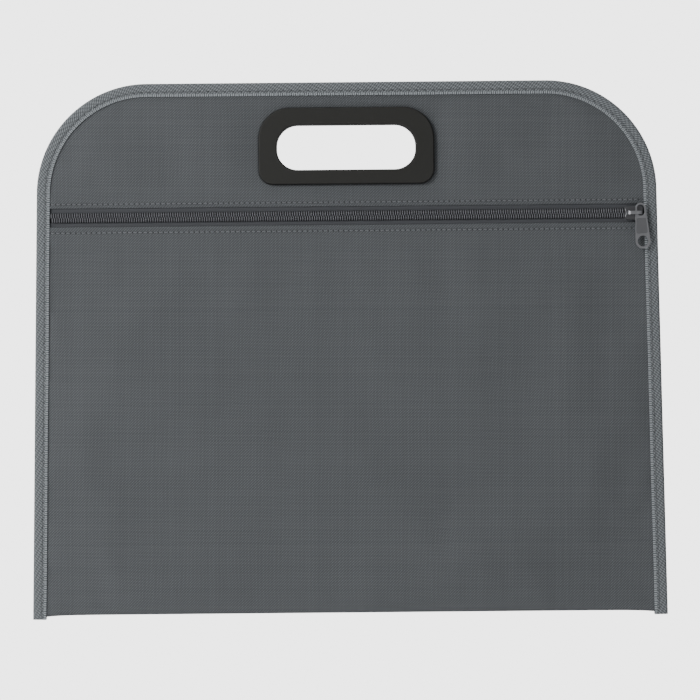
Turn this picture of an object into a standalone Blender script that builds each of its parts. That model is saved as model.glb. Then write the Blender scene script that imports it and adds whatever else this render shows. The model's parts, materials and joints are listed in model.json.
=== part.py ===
"""Flat zipped carrying bag, modelled as its separate sewn, moulded and cast pieces.

Metres, +Z up, front face towards -Y. The origin is the middle of the flat upper wall
of the finger slot, where a hand carries the bag. Sizes are the driving dimensions
below; heights are measured up from the cut ends of the edge binding.
"""

import math

import bmesh
import bpy
from mathutils import Matrix, Vector

MM = 0.001

# Bag outline
BAG_WIDTH = 380 * MM  # across the bottom, over the binding
BAG_HEIGHT = 320 * MM  # binding ends to the top edge
SIDE_TAPER = 0.0175  # each side leans in by this much per unit of height
CORNER_RADIUS = 65 * MM  # the two round top corners
FOLD_HEIGHT = 2.3 * MM  # the bottom fold sits this far above the binding's cut ends

# Cloth, tapes and threads
CLOTH = 0.4 * MM
ZIP_TAPE = 0.4 * MM
BINDING = 0.5 * MM
BINDING_WIDTH = 8.0 * MM  # each leg of the folded binding tape
THREAD = 0.4 * MM
GAP = 0.3 * MM  # clearance between pieces that lie on each other
BACK_BULGE = 8.0 * MM  # how far the back stands off the front
EDGE_EASE = 30 * MM  # distance over which the back curves out from its seams
HANDLE_EASE = 20 * MM  # the same, beside the handle
PINCH_MARGIN = 0.4 * MM  # flat cloth past the binding's inner edge
HANDLE_MARGIN = 2.0 * MM  # flat cloth past the handle's sides and bottom
HANDLE_TOP_FLAT = 1.0 * MM  # and past its top

# Zip
ZIP_DROP = 80 * MM  # top edge to the chain's centre
CHAIN_WIDTH = 5.86 * MM
CHAIN_DEPTH = 2.2 * MM
CHAIN_LANE = 1.4 * MM  # between the two coils, where the slider's neck runs
UPPER_TAPE_SHOWN = 2.87 * MM  # bare tape between the chain and each hem
LOWER_TAPE_SHOWN = 2.67 * MM
UPPER_SEAM_INSET = 2.3 * MM  # hem edge to its stitch row
LOWER_SEAM_INSET = 3.4 * MM
TAPE_PAST_SEAM = 6.0 * MM  # tape beyond its seam, behind the cloth
BINDING_SEAM = 5.2 * MM  # stitch row from the outer edge

# Handle
HANDLE_TOP_MARGIN = 15.5 * MM  # bag's top edge to the handle
TOP_BAR = 10.2 * MM
SLOT_HEIGHT = 26.9 * MM
BOTTOM_BAR = 8.5 * MM
SLOT_WIDTH = 82.9 * MM
SIDE_BAR = 10.95 * MM
SLOT_CORNER = 12.5 * MM
HANDLE_TOP_CORNER = 18.5 * MM
HANDLE_BOTTOM_CORNER = 8.5 * MM
FLANGE = 3.0 * MM
FLANGE_ROUND = 0.9 * MM
OPENING_ROUND = 0.5 * MM
COLLAR_WALL = 1.2 * MM
COLLAR_RECESS = 0.5 * MM  # the collar stops short of the back plate's face
PIN_RADIUS = 1.2 * MM
PIN_TIP_GAP = 1.0 * MM  # pin tip to the back plate's outer face
PIN_END_MARGIN = 2.45 * MM  # slot's end to the outermost pins, along the bars
PINS_PER_BAR = 4
SOCKET_FLOOR = 0.6 * MM

# Slider
SLIDER_LENGTH = 10.8 * MM
SLIDER_REAR_FLANGE = 0.37 * MM  # side walls of the channel, at the narrow and wide ends
SLIDER_FRONT_FLANGE = 1.17 * MM
SLIDER_REAR_CORNER = 0.4 * MM
SLIDER_NOSE = 0.68  # the nose narrows to this share of the widest part
SLIDER_TOP_WALL = 0.7 * MM
SLIDER_BASE_WALL = 0.5 * MM
SLIDER_BASE_LENGTH = 8.6 * MM
SLIDER_CLEARANCE = 0.25 * MM
SLIDER_END_GAP = 1.1 * MM  # to the binding's inner edge, zip shut
NECK_LENGTH = 2.4 * MM
NECK_WIDTH = 0.8 * MM
NECK_CENTRE = 2.2 * MM  # ahead of the slider's centre
BRIDGE_WIDTH = 2.0 * MM
BRIDGE_THICKNESS = 0.9 * MM
BRIDGE_REAR_FOOT = -3.4 * MM  # foot centres from the slider's centre
BRIDGE_FRONT_FOOT = 4.7 * MM
BRIDGE_CORNER = 2.2 * MM

# Pull tab, in its own frame with the front foot of the bridge at height 0
TAB_THICKNESS = 1.2 * MM
TAB_TOP = 5.9 * MM
TAB_TOP_RADIUS = 3.1 * MM
TAB_LENGTH = 27.4 * MM
TAB_END_RADIUS = 4.5 * MM
TAB_RIM = 1.25 * MM  # metal round the end hole
EYE_WIDTH = 4.2 * MM
EYE_HEIGHT = 6.3 * MM
EYE_RIM = 1.0 * MM
TAB_OFFSET = 0.6 * MM  # the foot stands this far to the right of the tab's centre line
TAB_LEAN = math.radians(4)

# Worked out from the above
PIN_SOCKET_RADIUS = PIN_RADIUS + GAP
HANDLE_WIDTH = SLOT_WIDTH + 2 * SIDE_BAR
PIN_SPACING = (SLOT_WIDTH - 2 * PIN_END_MARGIN) / (PINS_PER_BAR - 1)
HANDLE_TOP = BAG_HEIGHT - HANDLE_TOP_MARGIN
SLOT_TOP = HANDLE_TOP - TOP_BAR
SLOT_BOTTOM = SLOT_TOP - SLOT_HEIGHT
HANDLE_BOTTOM = SLOT_BOTTOM - BOTTOM_BAR
CORNER_HEIGHT = BAG_HEIGHT - CORNER_RADIUS
HANDLE_PINCH_X = HANDLE_WIDTH / 2 + HANDLE_MARGIN
HANDLE_PINCH_LOW = HANDLE_BOTTOM - HANDLE_MARGIN
HANDLE_PINCH_HIGH = HANDLE_TOP + HANDLE_TOP_FLAT

ZIP_HEIGHT = BAG_HEIGHT - ZIP_DROP
UPPER_HEM = CHAIN_WIDTH / 2 + UPPER_TAPE_SHOWN
LOWER_HEM = CHAIN_WIDTH / 2 + LOWER_TAPE_SHOWN
UPPER_SEAM = UPPER_HEM + UPPER_SEAM_INSET
LOWER_SEAM = LOWER_HEM + LOWER_SEAM_INSET
ZIP_TAPE_EDGE = LOWER_SEAM + TAPE_PAST_SEAM
CHANNEL = CHAIN_WIDTH / 2 + GAP

TAPE_FACE = ZIP_TAPE / 2
CLOTH_MIDDLE = TAPE_FACE + GAP + CLOTH / 2
CLOTH_FACE = CLOTH_MIDDLE + CLOTH / 2
BINDING_MIDDLE = CLOTH_FACE + GAP + BINDING / 2
BINDING_FACE = BINDING_MIDDLE + BINDING / 2
EDGE_INSET = BINDING_FACE  # cut edges of the cloth, inside the binding's round fold
PINCH_INSET = BINDING_WIDTH + PINCH_MARGIN
PLATE_FACE = CLOTH_FACE + GAP
HANDLE_FACE = PLATE_FACE + FLANGE
COIL_BACK = TAPE_FACE + GAP
COIL_FRONT = COIL_BACK + CHAIN_DEPTH
SLIDER_ROOF = COIL_FRONT + GAP
SLIDER_FACE = SLIDER_ROOF + SLIDER_TOP_WALL
TAB_BACK = SLIDER_FACE + GAP
TAB_FACE = TAB_BACK + TAB_THICKNESS
BRIDGE_UNDER = TAB_FACE + GAP
BRIDGE_FACE = BRIDGE_UNDER + BRIDGE_THICKNESS

ARC_STEPS = 12
HANDLE_CORNER_STEPS = 6
ROUND_STEPS = 3
SIDE_COLUMNS = 8
HANDLE_COLUMNS = 8
FOLD_STEPS = 5
BACK_ROW_PITCH = 19 * MM

FINISHES = {
    "cloth": ((86, 89, 92), 0.85, 0.0),
    "binding": ((112, 116, 119), 0.8, 0.0),
    "zip_tape": ((72, 74, 78), 0.8, 0.0),
    "coil": ((69, 70, 73), 0.5, 0.0),
    "metal": ((98, 99, 102), 0.4, 0.9),
    "plastic": ((52, 52, 50), 0.45, 0.0),
    "thread": ((60, 62, 65), 0.7, 0.0),
}


def clear_scene():
    for item in list(bpy.data.objects):
        bpy.data.objects.remove(item)


def make_collection(name):
    collection = bpy.data.collections.new(name)
    bpy.context.scene.collection.children.link(collection)
    return collection


def linear(channel):
    """An 8-bit display value as the linear value that a shader takes."""
    value = channel / 255
    return value / 12.92 if value <= 0.04045 else ((value + 0.055) / 1.055) ** 2.4


def make_material(name, finish):
    colour, roughness, metallic = FINISHES[finish]
    material = bpy.data.materials.new(name)
    material.use_nodes = True
    shader = material.node_tree.nodes["Principled BSDF"]
    shader.inputs["Base Color"].default_value = [linear(c) for c in colour] + [1]
    shader.inputs["Roughness"].default_value = roughness
    shader.inputs["Metallic"].default_value = metallic
    return material


def add_object(name, data, collection, finish=None):
    item = bpy.data.objects.new(name, data)
    collection.objects.link(item)
    if finish:
        data.materials.append(make_material(name, finish))
    return item


def add_cutter(name, data):
    item = add_object(name, data, CUTTERS)
    item.hide_render = True
    item.display_type = "WIRE"
    return item


def mesh_from(bm, name):
    bmesh.ops.recalc_face_normals(bm, faces=bm.faces)
    mesh = bpy.data.meshes.new(name)
    bm.to_mesh(mesh)
    bm.free()
    return mesh


def boolean(item, tool, operation):
    modifier = item.modifiers.new(tool.name, "BOOLEAN")
    modifier.operation = operation
    modifier.object = tool
    return modifier


# Outline of the bag


def side_x(height):
    return BAG_WIDTH / 2 - SIDE_TAPER * height


def half_width(height, inset):
    """Half the bag's width at a height, measured inset from its outer edge."""
    rise = height - CORNER_HEIGHT
    if rise <= 0:
        return side_x(height) - inset
    radius = CORNER_RADIUS - inset
    return side_x(height) - CORNER_RADIUS + math.sqrt(max(radius**2 - rise**2, 0))


def outward(point, inset):
    """The direction, across the bag's plane, away from the bag at a point of the inset outline."""
    rise = point.z - CORNER_HEIGHT
    if rise <= 0:
        return Vector((math.copysign(1, point.x), 0, 0))
    sine = min(rise / (CORNER_RADIUS - inset), 1)
    return Vector((math.copysign(math.sqrt(1 - sine**2), point.x), 0, sine))


def right_outline(inset, low):
    """The outline's right half as (x, height), from low up to the end of the corner's arc."""
    points = [(half_width(low, inset), low)]
    for step in range(ARC_STEPS + 1):
        angle = math.pi / 2 * step / ARC_STEPS
        height = CORNER_HEIGHT + (CORNER_RADIUS - inset) * math.sin(angle)
        points.append((half_width(height, inset), height))
    return points


def outline(inset, low):
    """Up the right side, over the top and down the left side."""
    right = right_outline(inset, low)
    return right + [(-x, height) for x, height in reversed(right)]


# Plane and solid builders


def circle(centre, radius, segments):
    return [
        (
            centre[0] + radius * math.cos(2 * math.pi * k / segments),
            centre[1] + radius * math.sin(2 * math.pi * k / segments),
        )
        for k in range(segments)
    ]


def arc(centre, radius, start, end, steps):
    """Points on an arc, angles in degrees."""
    angles = [math.radians(start + (end - start) * k / steps) for k in range(steps + 1)]
    return [(centre[0] + radius * math.cos(a), centre[1] + radius * math.sin(a)) for a in angles]


def flat_curve(name, loops, thickness):
    """A flat plate: its first loop is the outline and the others are holes."""
    curve = bpy.data.curves.new(name, "CURVE")
    curve.dimensions = "2D"
    curve.fill_mode = "BOTH"
    curve.extrude = thickness / 2
    for loop in loops:
        spline = curve.splines.new("POLY")
        spline.points.add(len(loop) - 1)
        for point, (x, y) in zip(spline.points, loop):
            point.co = (x, y, 0, 1)
        spline.use_cyclic_u = True
    return curve


def stand_up(item, front, back, x=0.0, height=0.0):
    """Turn a flat plate to face the front, between two depths and at a place on the bag."""
    item.rotation_euler = (math.pi / 2, 0, 0)
    item.location = (x, (front + back) / 2, height - SLOT_TOP)
    return item


def solid_from_curve(item, collection, finish=None):
    """Turn a flat curve object into a mesh object of the same name, with its caps welded."""
    bpy.context.view_layer.update()
    evaluated = item.evaluated_get(bpy.context.evaluated_depsgraph_get())
    mesh = bpy.data.meshes.new_from_object(evaluated)
    place = item.matrix_world.copy()
    name = item.name
    bpy.data.objects.remove(item)
    bm = bmesh.new()
    bm.from_mesh(mesh)
    bmesh.ops.remove_doubles(bm, verts=bm.verts, dist=1e-6)
    bmesh.ops.recalc_face_normals(bm, faces=bm.faces)
    bm.to_mesh(mesh)
    bm.free()
    mesh.materials.clear()
    mesh.name = name
    solid = add_object(name, mesh, collection, finish)
    solid.matrix_world = place
    return solid


def plate(name, loops, front, back, collection, finish=None, x=0.0, height=0.0):
    """A flat solid plate facing the front, as a mesh object."""
    curve = flat_curve(name, loops, back - front)
    item = stand_up(add_object(name, curve, collection), front, back, x, height)
    return solid_from_curve(item, collection, finish)


def rod(radius, front, back, x, height, bm, segments):
    """Add a round rod along Y to a mesh."""
    place = Matrix.Translation((x, (front + back) / 2, height - SLOT_TOP)) @ Matrix.Rotation(math.pi / 2, 4, "X")
    bmesh.ops.create_cone(
        bm,
        cap_ends=True,
        segments=segments,
        radius1=radius,
        radius2=radius,
        depth=back - front,
        matrix=place,
    )


def block(name, low, high):
    """A hidden box between two corners, used to cut or to join."""
    bm = bmesh.new()
    size = Vector(high) - Vector(low)
    place = Matrix.Translation((Vector(low) + Vector(high)) / 2) @ Matrix.Diagonal(size).to_4x4()
    bmesh.ops.create_cube(bm, size=1, matrix=place)
    return add_cutter(name, mesh_from(bm, name))


def thread(name, points, depth):
    """A sewing thread lying along points given as (x, height), at one depth."""
    curve = bpy.data.curves.new(name, "CURVE")
    curve.dimensions = "3D"
    curve.bevel_depth = THREAD / 2
    curve.bevel_resolution = 1
    curve.use_fill_caps = True
    spline = curve.splines.new("POLY")
    spline.points.add(len(points) - 1)
    for point, (x, height) in zip(spline.points, points):
        point.co = (x, depth, height - SLOT_TOP, 1)
    return add_object(name, curve, PARTS, "thread")


# Cloth


def ease(distance, reach):
    """0 at a seam, rising steeply and levelling out to 1 at reach."""
    share = min(max(distance / reach, 0), 1)
    return 1 - (1 - share) ** 2


def back_depth(x, height):
    """Depth of the middle of the back cloth, which is held down at its seams and at the handle."""
    across = half_width(height, PINCH_INSET) - abs(x)
    down = BAG_HEIGHT - PINCH_INSET - height
    up = height - FOLD_HEIGHT
    beside = max(abs(x) - HANDLE_PINCH_X, 0)
    past = max(HANDLE_PINCH_LOW - height, height - HANDLE_PINCH_HIGH, 0)
    share = ease(across, EDGE_EASE) * ease(down, EDGE_EASE) * ease(up, EDGE_EASE)
    return CLOTH_MIDDLE + BACK_BULGE * share * ease(math.hypot(beside, past), HANDLE_EASE)


def column_x(column, height):
    """Place of a column of the cloth grid: straight over the handle, fanned out to the seams."""
    middle = SIDE_COLUMNS + HANDLE_COLUMNS / 2
    place = column - middle
    if abs(place) <= HANDLE_COLUMNS / 2:
        return HANDLE_PINCH_X * place / (HANDLE_COLUMNS / 2)
    share = math.sin(math.pi / 2 * (abs(place) - HANDLE_COLUMNS / 2) / SIDE_COLUMNS)
    edge = half_width(height, PINCH_INSET)
    return math.copysign(HANDLE_PINCH_X + (edge - HANDLE_PINCH_X) * share, place)


def rows_up(low, high, pitch):
    """Heights from low to high: even below the corners, and evenly round their arcs above."""
    radius = CORNER_RADIUS - PINCH_INSET
    if low < CORNER_HEIGHT:
        count = math.ceil((high - low) / pitch)
        return [low + (high - low) * k / count for k in range(count + 1)]
    start = math.asin((low - CORNER_HEIGHT) / radius)
    end = math.asin(min((high - CORNER_HEIGHT) / radius, 1))
    count = math.ceil((end - start) * radius / pitch)
    return [CORNER_HEIGHT + radius * math.sin(start + (end - start) * k / count) for k in range(count + 1)]


def body_rows():
    """Rows of the folded body cloth as (height, depth or None where it is the bulging back)."""
    radius = CLOTH_MIDDLE
    centre = FOLD_HEIGHT + CLOTH / 2 + radius
    rows = [(ZIP_HEIGHT - LOWER_HEM, -radius), (centre + EDGE_EASE, -radius)]
    for step in range(FOLD_STEPS + 1):
        angle = math.pi * step / FOLD_STEPS
        rows.append((centre - radius * math.sin(angle), -radius * math.cos(angle)))
    top = BAG_HEIGHT - PINCH_INSET
    heights = rows_up(centre, HANDLE_PINCH_LOW, BACK_ROW_PITCH)[1:]
    heights += rows_up(HANDLE_PINCH_LOW, HANDLE_PINCH_HIGH, BACK_ROW_PITCH / 2)[1:]
    heights += rows_up(HANDLE_PINCH_HIGH, top, BACK_ROW_PITCH / 3)[1:]
    return rows + [(height, None) for height in heights]


def make_body_cloth():
    """One cloth: lower front, bottom fold and the whole back, held flat inside the binding."""
    rows = body_rows()
    last_row = len(rows) - 1
    last_column = 2 * SIDE_COLUMNS + HANDLE_COLUMNS
    bm = bmesh.new()
    bmesh.ops.create_grid(bm, x_segments=last_column, y_segments=last_row, size=1)
    held = set()
    for vert in bm.verts:
        column = round((vert.co.x + 1) / 2 * last_column)
        row = round((vert.co.y + 1) / 2 * last_row)
        height, depth = rows[row]
        x = column_x(column, height)
        vert.co = (x, back_depth(x, height) if depth is None else depth, height)
        if column in (0, last_column) or row == last_row:
            held.add(vert)
    edges = [e for e in bm.edges if e.is_boundary and held.issuperset(e.verts)]
    grown = bmesh.ops.extrude_edge_only(bm, edges=edges)["geom"]
    for vert in grown:
        if isinstance(vert, bmesh.types.BMVert):
            vert.co += outward(vert.co, PINCH_INSET) * (PINCH_INSET - EDGE_INSET)
    bmesh.ops.translate(bm, verts=bm.verts, vec=(0, 0, -SLOT_TOP))
    item = add_object("body_cloth", mesh_from(bm, "body_cloth"), PARTS, "cloth")
    wall = item.modifiers.new("cloth", "SOLIDIFY")
    wall.thickness = CLOTH
    wall.offset = 0
    boolean(item, cutout_cutter("body_cutout", PLATE_FACE), "DIFFERENCE")
    boolean(item, pin_hole_cutter("body_pin_holes", PLATE_FACE), "DIFFERENCE")
    item.data.shade_smooth()
    item.data.set_sharp_from_angle(angle=math.radians(40))
    return item


def make_front_upper_panel():
    """The flat panel between the zip and the top, with the handle's cut-out and pin holes."""
    loops = [outline(EDGE_INSET, ZIP_HEIGHT + UPPER_HEM)]
    loops.append(slot_outline(-(COLLAR_WALL + GAP)))
    loops += [circle(place, PIN_SOCKET_RADIUS, 12) for place in pin_places()]
    curve = flat_curve("front_upper_panel", loops, CLOTH)
    item = add_object("front_upper_panel", curve, PARTS, "cloth")
    return stand_up(item, -CLOTH_FACE, -CLOTH_FACE + CLOTH)


def binding_section():
    """The folded tape's middle line as (inset from the outer edge, depth), front leg first."""
    centre = BINDING / 2 + BINDING_MIDDLE
    section = [(BINDING_WIDTH, -BINDING_MIDDLE)]
    for step in range(ROUND_STEPS * 2 + 1):
        angle = math.pi * step / (ROUND_STEPS * 2)
        section.append((centre - BINDING_MIDDLE * math.sin(angle), -BINDING_MIDDLE * math.cos(angle)))
    return section + [(BINDING_WIDTH, BINDING_MIDDLE)]


def make_edge_binding():
    """One tape folded round the sides and the top, from one bottom corner to the other."""
    section = binding_section()
    paths = [outline(inset, 0) for inset, _ in section]
    last = len(paths[0]) - 1
    bm = bmesh.new()
    bmesh.ops.create_grid(bm, x_segments=last, y_segments=len(section) - 1, size=1)
    for vert in bm.verts:
        station = round((vert.co.x + 1) / 2 * last)
        strand = round((vert.co.y + 1) / 2 * (len(section) - 1))
        x, height = paths[strand][station]
        vert.co = (x, section[strand][1], height - SLOT_TOP)
    item = add_object("edge_binding", mesh_from(bm, "edge_binding"), PARTS, "binding")
    wall = item.modifiers.new("tape", "SOLIDIFY")
    wall.thickness = BINDING
    wall.offset = 0
    item.data.shade_smooth()
    return item


# Zip


def strip(inset, low, high):
    """A four-sided strip across the bag between two heights, following its leaning sides."""
    bottom = half_width(low, inset)
    top = half_width(high, inset)
    return [(-bottom, low), (bottom, low), (top, high), (-top, high)]


def make_zip_half(name, side):
    """One tape and its coil; side is 1 above the chain's centre and -1 below it."""
    lane = ZIP_HEIGHT + side * CHAIN_LANE / 2
    tape_edge = ZIP_HEIGHT + side * ZIP_TAPE_EDGE
    coil_edge = ZIP_HEIGHT + side * CHAIN_WIDTH / 2
    tape = flat_curve(f"zip_tape_{name}", [strip(EDGE_INSET, *sorted((lane, tape_edge)))], ZIP_TAPE)
    stand_up(add_object(f"zip_tape_{name}", tape, PARTS, "zip_tape"), -TAPE_FACE, TAPE_FACE)
    loops = [strip(PINCH_INSET, *sorted((lane, coil_edge)))]
    coil = plate(f"zip_coil_{name}", loops, -COIL_FRONT, -COIL_BACK, PARTS, "coil")
    front_edges = coil.modifiers.new("rounding", "BEVEL")
    front_edges.width = CHAIN_DEPTH / 5
    front_edges.segments = 2
    front_edges.limit_method = "ANGLE"


def slider_outline():
    """The slider's shield shape as (x, z) about its centre, wide end forward."""
    end = SLIDER_LENGTH / 2
    rear = CHANNEL + SLIDER_REAR_FLANGE
    front = CHANNEL + SLIDER_FRONT_FLANGE
    upper = [(-end, rear - SLIDER_REAR_CORNER), (-end + SLIDER_REAR_CORNER, rear)]
    upper += [(0, (rear + front) / 2), (end / 4, front), (end * 2 / 3, front)]
    upper += [(end * 7 / 8, front * (1 + SLIDER_NOSE) / 2), (end, front * SLIDER_NOSE)]
    return upper + [(x, -z) for x, z in reversed(upper)]


def make_bridge(x):
    """The strap that arches over the slider, along its travel."""
    rear = BRIDGE_REAR_FOOT - BRIDGE_THICKNESS / 2
    front = BRIDGE_FRONT_FOOT + BRIDGE_THICKNESS / 2
    inner = BRIDGE_CORNER - BRIDGE_THICKNESS
    foot = -SLIDER_FACE + SLIDER_TOP_WALL / 2
    crown = -BRIDGE_FACE + BRIDGE_CORNER
    loop = [(front, foot)]
    loop += arc((front - BRIDGE_CORNER, crown), BRIDGE_CORNER, 0, -90, 5)
    loop += arc((rear + BRIDGE_CORNER, crown), BRIDGE_CORNER, -90, -180, 5)
    loop += [(rear, foot), (rear + BRIDGE_THICKNESS, foot)]
    loop += arc((rear + BRIDGE_CORNER, crown), inner, -180, -90, 4)
    loop += arc((front - BRIDGE_CORNER, crown), inner, -90, 0, 4)
    loop += [(front - BRIDGE_THICKNESS, foot)]
    curve = flat_curve("slider_bridge", [loop], BRIDGE_WIDTH)
    item = add_cutter("slider_bridge", curve)
    item.location = (x, 0, ZIP_HEIGHT - SLOT_TOP)
    item = solid_from_curve(item, CUTTERS)
    item.hide_render = True
    item.display_type = "WIRE"
    return item


def make_slider(x):
    """Top shell with side flanges, base plate, neck and bridge, cast as one piece."""
    middle = ZIP_HEIGHT - SLOT_TOP
    skirt = TAPE_FACE + SLIDER_CLEARANCE
    item = plate("slider_body", [slider_outline()], -SLIDER_FACE, -skirt, PARTS, "metal", x, ZIP_HEIGHT)
    reach = SLIDER_LENGTH
    cut = block("slider_channel", (x - reach, -SLIDER_ROOF, middle - CHANNEL), (x + reach, 0, middle + CHANNEL))
    boolean(item, cut, "DIFFERENCE")
    neck_low = (x + NECK_CENTRE - NECK_LENGTH / 2, -SLIDER_FACE + SLIDER_TOP_WALL / 2, middle - NECK_WIDTH / 2)
    neck_high = (x + NECK_CENTRE + NECK_LENGTH / 2, skirt + SLIDER_BASE_WALL / 2, middle + NECK_WIDTH / 2)
    boolean(item, block("slider_neck", neck_low, neck_high), "UNION")
    shrink = SLIDER_BASE_LENGTH / SLIDER_LENGTH
    base_outline = [(px * shrink, pz * shrink) for px, pz in slider_outline()]
    base = plate("slider_base", [base_outline], skirt, skirt + SLIDER_BASE_WALL, CUTTERS, None, x, ZIP_HEIGHT)
    base.hide_render = True
    base.display_type = "WIRE"
    boolean(item, base, "UNION")
    boolean(item, make_bridge(x), "UNION")
    return item


def make_pull_tab(x):
    """The tapered tab, its eye round the bridge's front foot, on the axis that it swings about."""
    top = (-TAB_OFFSET, TAB_TOP - TAB_TOP_RADIUS)
    end = (-TAB_OFFSET, TAB_TOP - TAB_LENGTH + TAB_END_RADIUS)
    slope = math.degrees(math.asin((TAB_END_RADIUS - TAB_TOP_RADIUS) / (top[1] - end[1])))
    shape = arc(top, TAB_TOP_RADIUS, slope, 180 - slope, 10)
    shape += arc(end, TAB_END_RADIUS, 180 - slope, 360 + slope, 14)
    eye_top = (top[0], TAB_TOP - EYE_RIM - EYE_WIDTH / 2)
    eye_end = (top[0], TAB_TOP - EYE_RIM - EYE_HEIGHT + EYE_WIDTH / 2)
    eye = arc(eye_top, EYE_WIDTH / 2, 0, 180, 8) + arc(eye_end, EYE_WIDTH / 2, 180, 360, 8)
    hole = circle(end, TAB_END_RADIUS - TAB_RIM, 16)
    curve = flat_curve("pull_tab", [shape, eye, hole], TAB_THICKNESS)
    pivot = bpy.data.objects.new("pull_tab_pivot", None)
    PARTS.objects.link(pivot)
    pivot.location = (x + BRIDGE_FRONT_FOOT, 0, ZIP_HEIGHT - SLOT_TOP)
    pivot.rotation_euler = (0, -TAB_LEAN, 0)
    item = add_object("pull_tab", curve, PARTS, "metal")
    item.parent = pivot
    item.rotation_euler = (math.pi / 2, 0, 0)
    item.location = (0, -(TAB_FACE + TAB_BACK) / 2, 0)
    return item


# Handle


def rounded_outline(half, low, high, low_radius, high_radius, inset):
    """A rounded rectangle as (x, height), moved inwards by inset."""
    low_r = low_radius - inset
    high_r = high_radius - inset
    x = half - inset
    steps = HANDLE_CORNER_STEPS
    points = arc((x - high_r, high - inset - high_r), high_r, 0, 90, steps)
    points += arc((-x + high_r, high - inset - high_r), high_r, 90, 180, steps)
    points += arc((-x + low_r, low + inset + low_r), low_r, 180, 270, steps)
    points += arc((x - low_r, low + inset + low_r), low_r, 270, 360, steps)
    return points


def plate_outline(inset):
    return rounded_outline(
        HANDLE_WIDTH / 2, HANDLE_BOTTOM, HANDLE_TOP, HANDLE_BOTTOM_CORNER, HANDLE_TOP_CORNER, inset
    )


def slot_outline(inset):
    return rounded_outline(SLOT_WIDTH / 2, SLOT_BOTTOM, SLOT_TOP, SLOT_CORNER, SLOT_CORNER, inset)


def pin_places():
    """Pin centres as (x, height), in a row in each bar between the collar and the outer edge."""
    lower = (HANDLE_BOTTOM + SLOT_BOTTOM - COLLAR_WALL) / 2
    upper = (HANDLE_TOP + SLOT_TOP + COLLAR_WALL) / 2
    first = -PIN_SPACING * (PINS_PER_BAR - 1) / 2
    return [(first + PIN_SPACING * k, height) for height in (lower, upper) for k in range(PINS_PER_BAR)]


def rods_along_pins(name, radius, front, back):
    bm = bmesh.new()
    for x, height in pin_places():
        rod(radius, front, back, x, height, bm, 12)
    return add_cutter(name, mesh_from(bm, name))


def cutout_cutter(name, reach):
    item = plate(name, [slot_outline(-(COLLAR_WALL + GAP))], -reach, reach, CUTTERS)
    item.hide_render = True
    item.display_type = "WIRE"
    return item


def pin_hole_cutter(name, reach):
    return rods_along_pins(name, PIN_SOCKET_RADIUS, -reach, reach)


def rounding(shape, inset, face, radius, side):
    """Loops of a quarter-round edge, from the wall (inset) to the flat face; side is 1 inwards."""
    loops = []
    for step in range(ROUND_STEPS + 1):
        angle = math.pi / 2 * step / ROUND_STEPS
        in_by = inset + side * radius * (1 - math.cos(angle))
        loops.append((shape(in_by), face - math.copysign(radius, face) * (1 - math.sin(angle))))
    return loops


def ring_solid(name, loops):
    """A ring lofted through closed loops, each (points, depth), back round to the first."""
    bm = bmesh.new()
    rings = [[bm.verts.new((x, depth, height - SLOT_TOP)) for x, height in points] for points, depth in loops]
    for ring, after in zip(rings, rings[1:] + rings[:1]):
        for k in range(len(ring)):
            bm.faces.new((ring[k - 1], ring[k], after[k], after[k - 1]))
    item = add_object(name, mesh_from(bm, name), PARTS, "plastic")
    return item


def make_handle_front():
    """Front plate with the collar that lines the slot and the snap pins on its back."""
    loops = [(plate_outline(0), -PLATE_FACE)]
    loops += rounding(plate_outline, 0, -HANDLE_FACE, FLANGE_ROUND, 1)
    loops += reversed(rounding(slot_outline, 0, -HANDLE_FACE, FLANGE_ROUND, -1))
    collar_end = HANDLE_FACE - COLLAR_RECESS
    loops += [(slot_outline(0), collar_end), (slot_outline(-COLLAR_WALL), collar_end)]
    loops += [(slot_outline(-COLLAR_WALL), -PLATE_FACE)]
    item = ring_solid("handle_front", loops)
    root = -PLATE_FACE - FLANGE / 2
    boolean(item, rods_along_pins("snap_pins", PIN_RADIUS, root, HANDLE_FACE - PIN_TIP_GAP), "UNION")
    return item


def make_handle_back():
    """Back plate that fits round the collar, with a blind socket for each pin."""
    wall = -(COLLAR_WALL + GAP)
    loops = [(plate_outline(0), PLATE_FACE)]
    loops += rounding(plate_outline, 0, HANDLE_FACE, FLANGE_ROUND, 1)
    loops += reversed(rounding(slot_outline, wall, HANDLE_FACE, OPENING_ROUND, -1))
    loops += [(slot_outline(wall), PLATE_FACE)]
    item = ring_solid("handle_back", loops)
    cut = rods_along_pins("pin_sockets", PIN_SOCKET_RADIUS, 0, HANDLE_FACE - SOCKET_FLOOR)
    boolean(item, cut, "DIFFERENCE")
    return item


def make_threads():
    """Two threads in each lockstitched seam: needle thread in front, bobbin thread behind."""
    lie = GAP + THREAD / 2
    seam = outline(BINDING_SEAM, FOLD_HEIGHT)
    thread("binding_needle_thread", seam, -BINDING_FACE - lie)
    thread("binding_bobbin_thread", seam, BINDING_FACE + lie)
    for name, height in (("upper", ZIP_HEIGHT + UPPER_SEAM), ("lower", ZIP_HEIGHT - LOWER_SEAM)):
        end = half_width(height, PINCH_INSET)
        thread(f"zip_needle_thread_{name}", [(-end, height), (end, height)], -CLOTH_FACE - lie)
        inside = end - EDGE_EASE / 5
        thread(f"zip_bobbin_thread_{name}", [(-inside, height), (inside, height)], TAPE_FACE + lie)


clear_scene()
PARTS = make_collection("zipped_bag")
CUTTERS = make_collection("cutters")

make_body_cloth()
make_front_upper_panel()
make_edge_binding()
make_zip_half("upper", 1)
make_zip_half("lower", -1)
slider_x = half_width(ZIP_HEIGHT, BINDING_WIDTH) - SLIDER_END_GAP - SLIDER_LENGTH / 2
make_slider(slider_x)
make_pull_tab(slider_x)
make_handle_front()
make_handle_back()
make_threads()
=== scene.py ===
import json
import logging
import math
from dataclasses import dataclass, field, replace
from enum import Enum
from typing import Callable

import bpy
import numpy as np
from mathutils import Matrix, Vector


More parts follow.
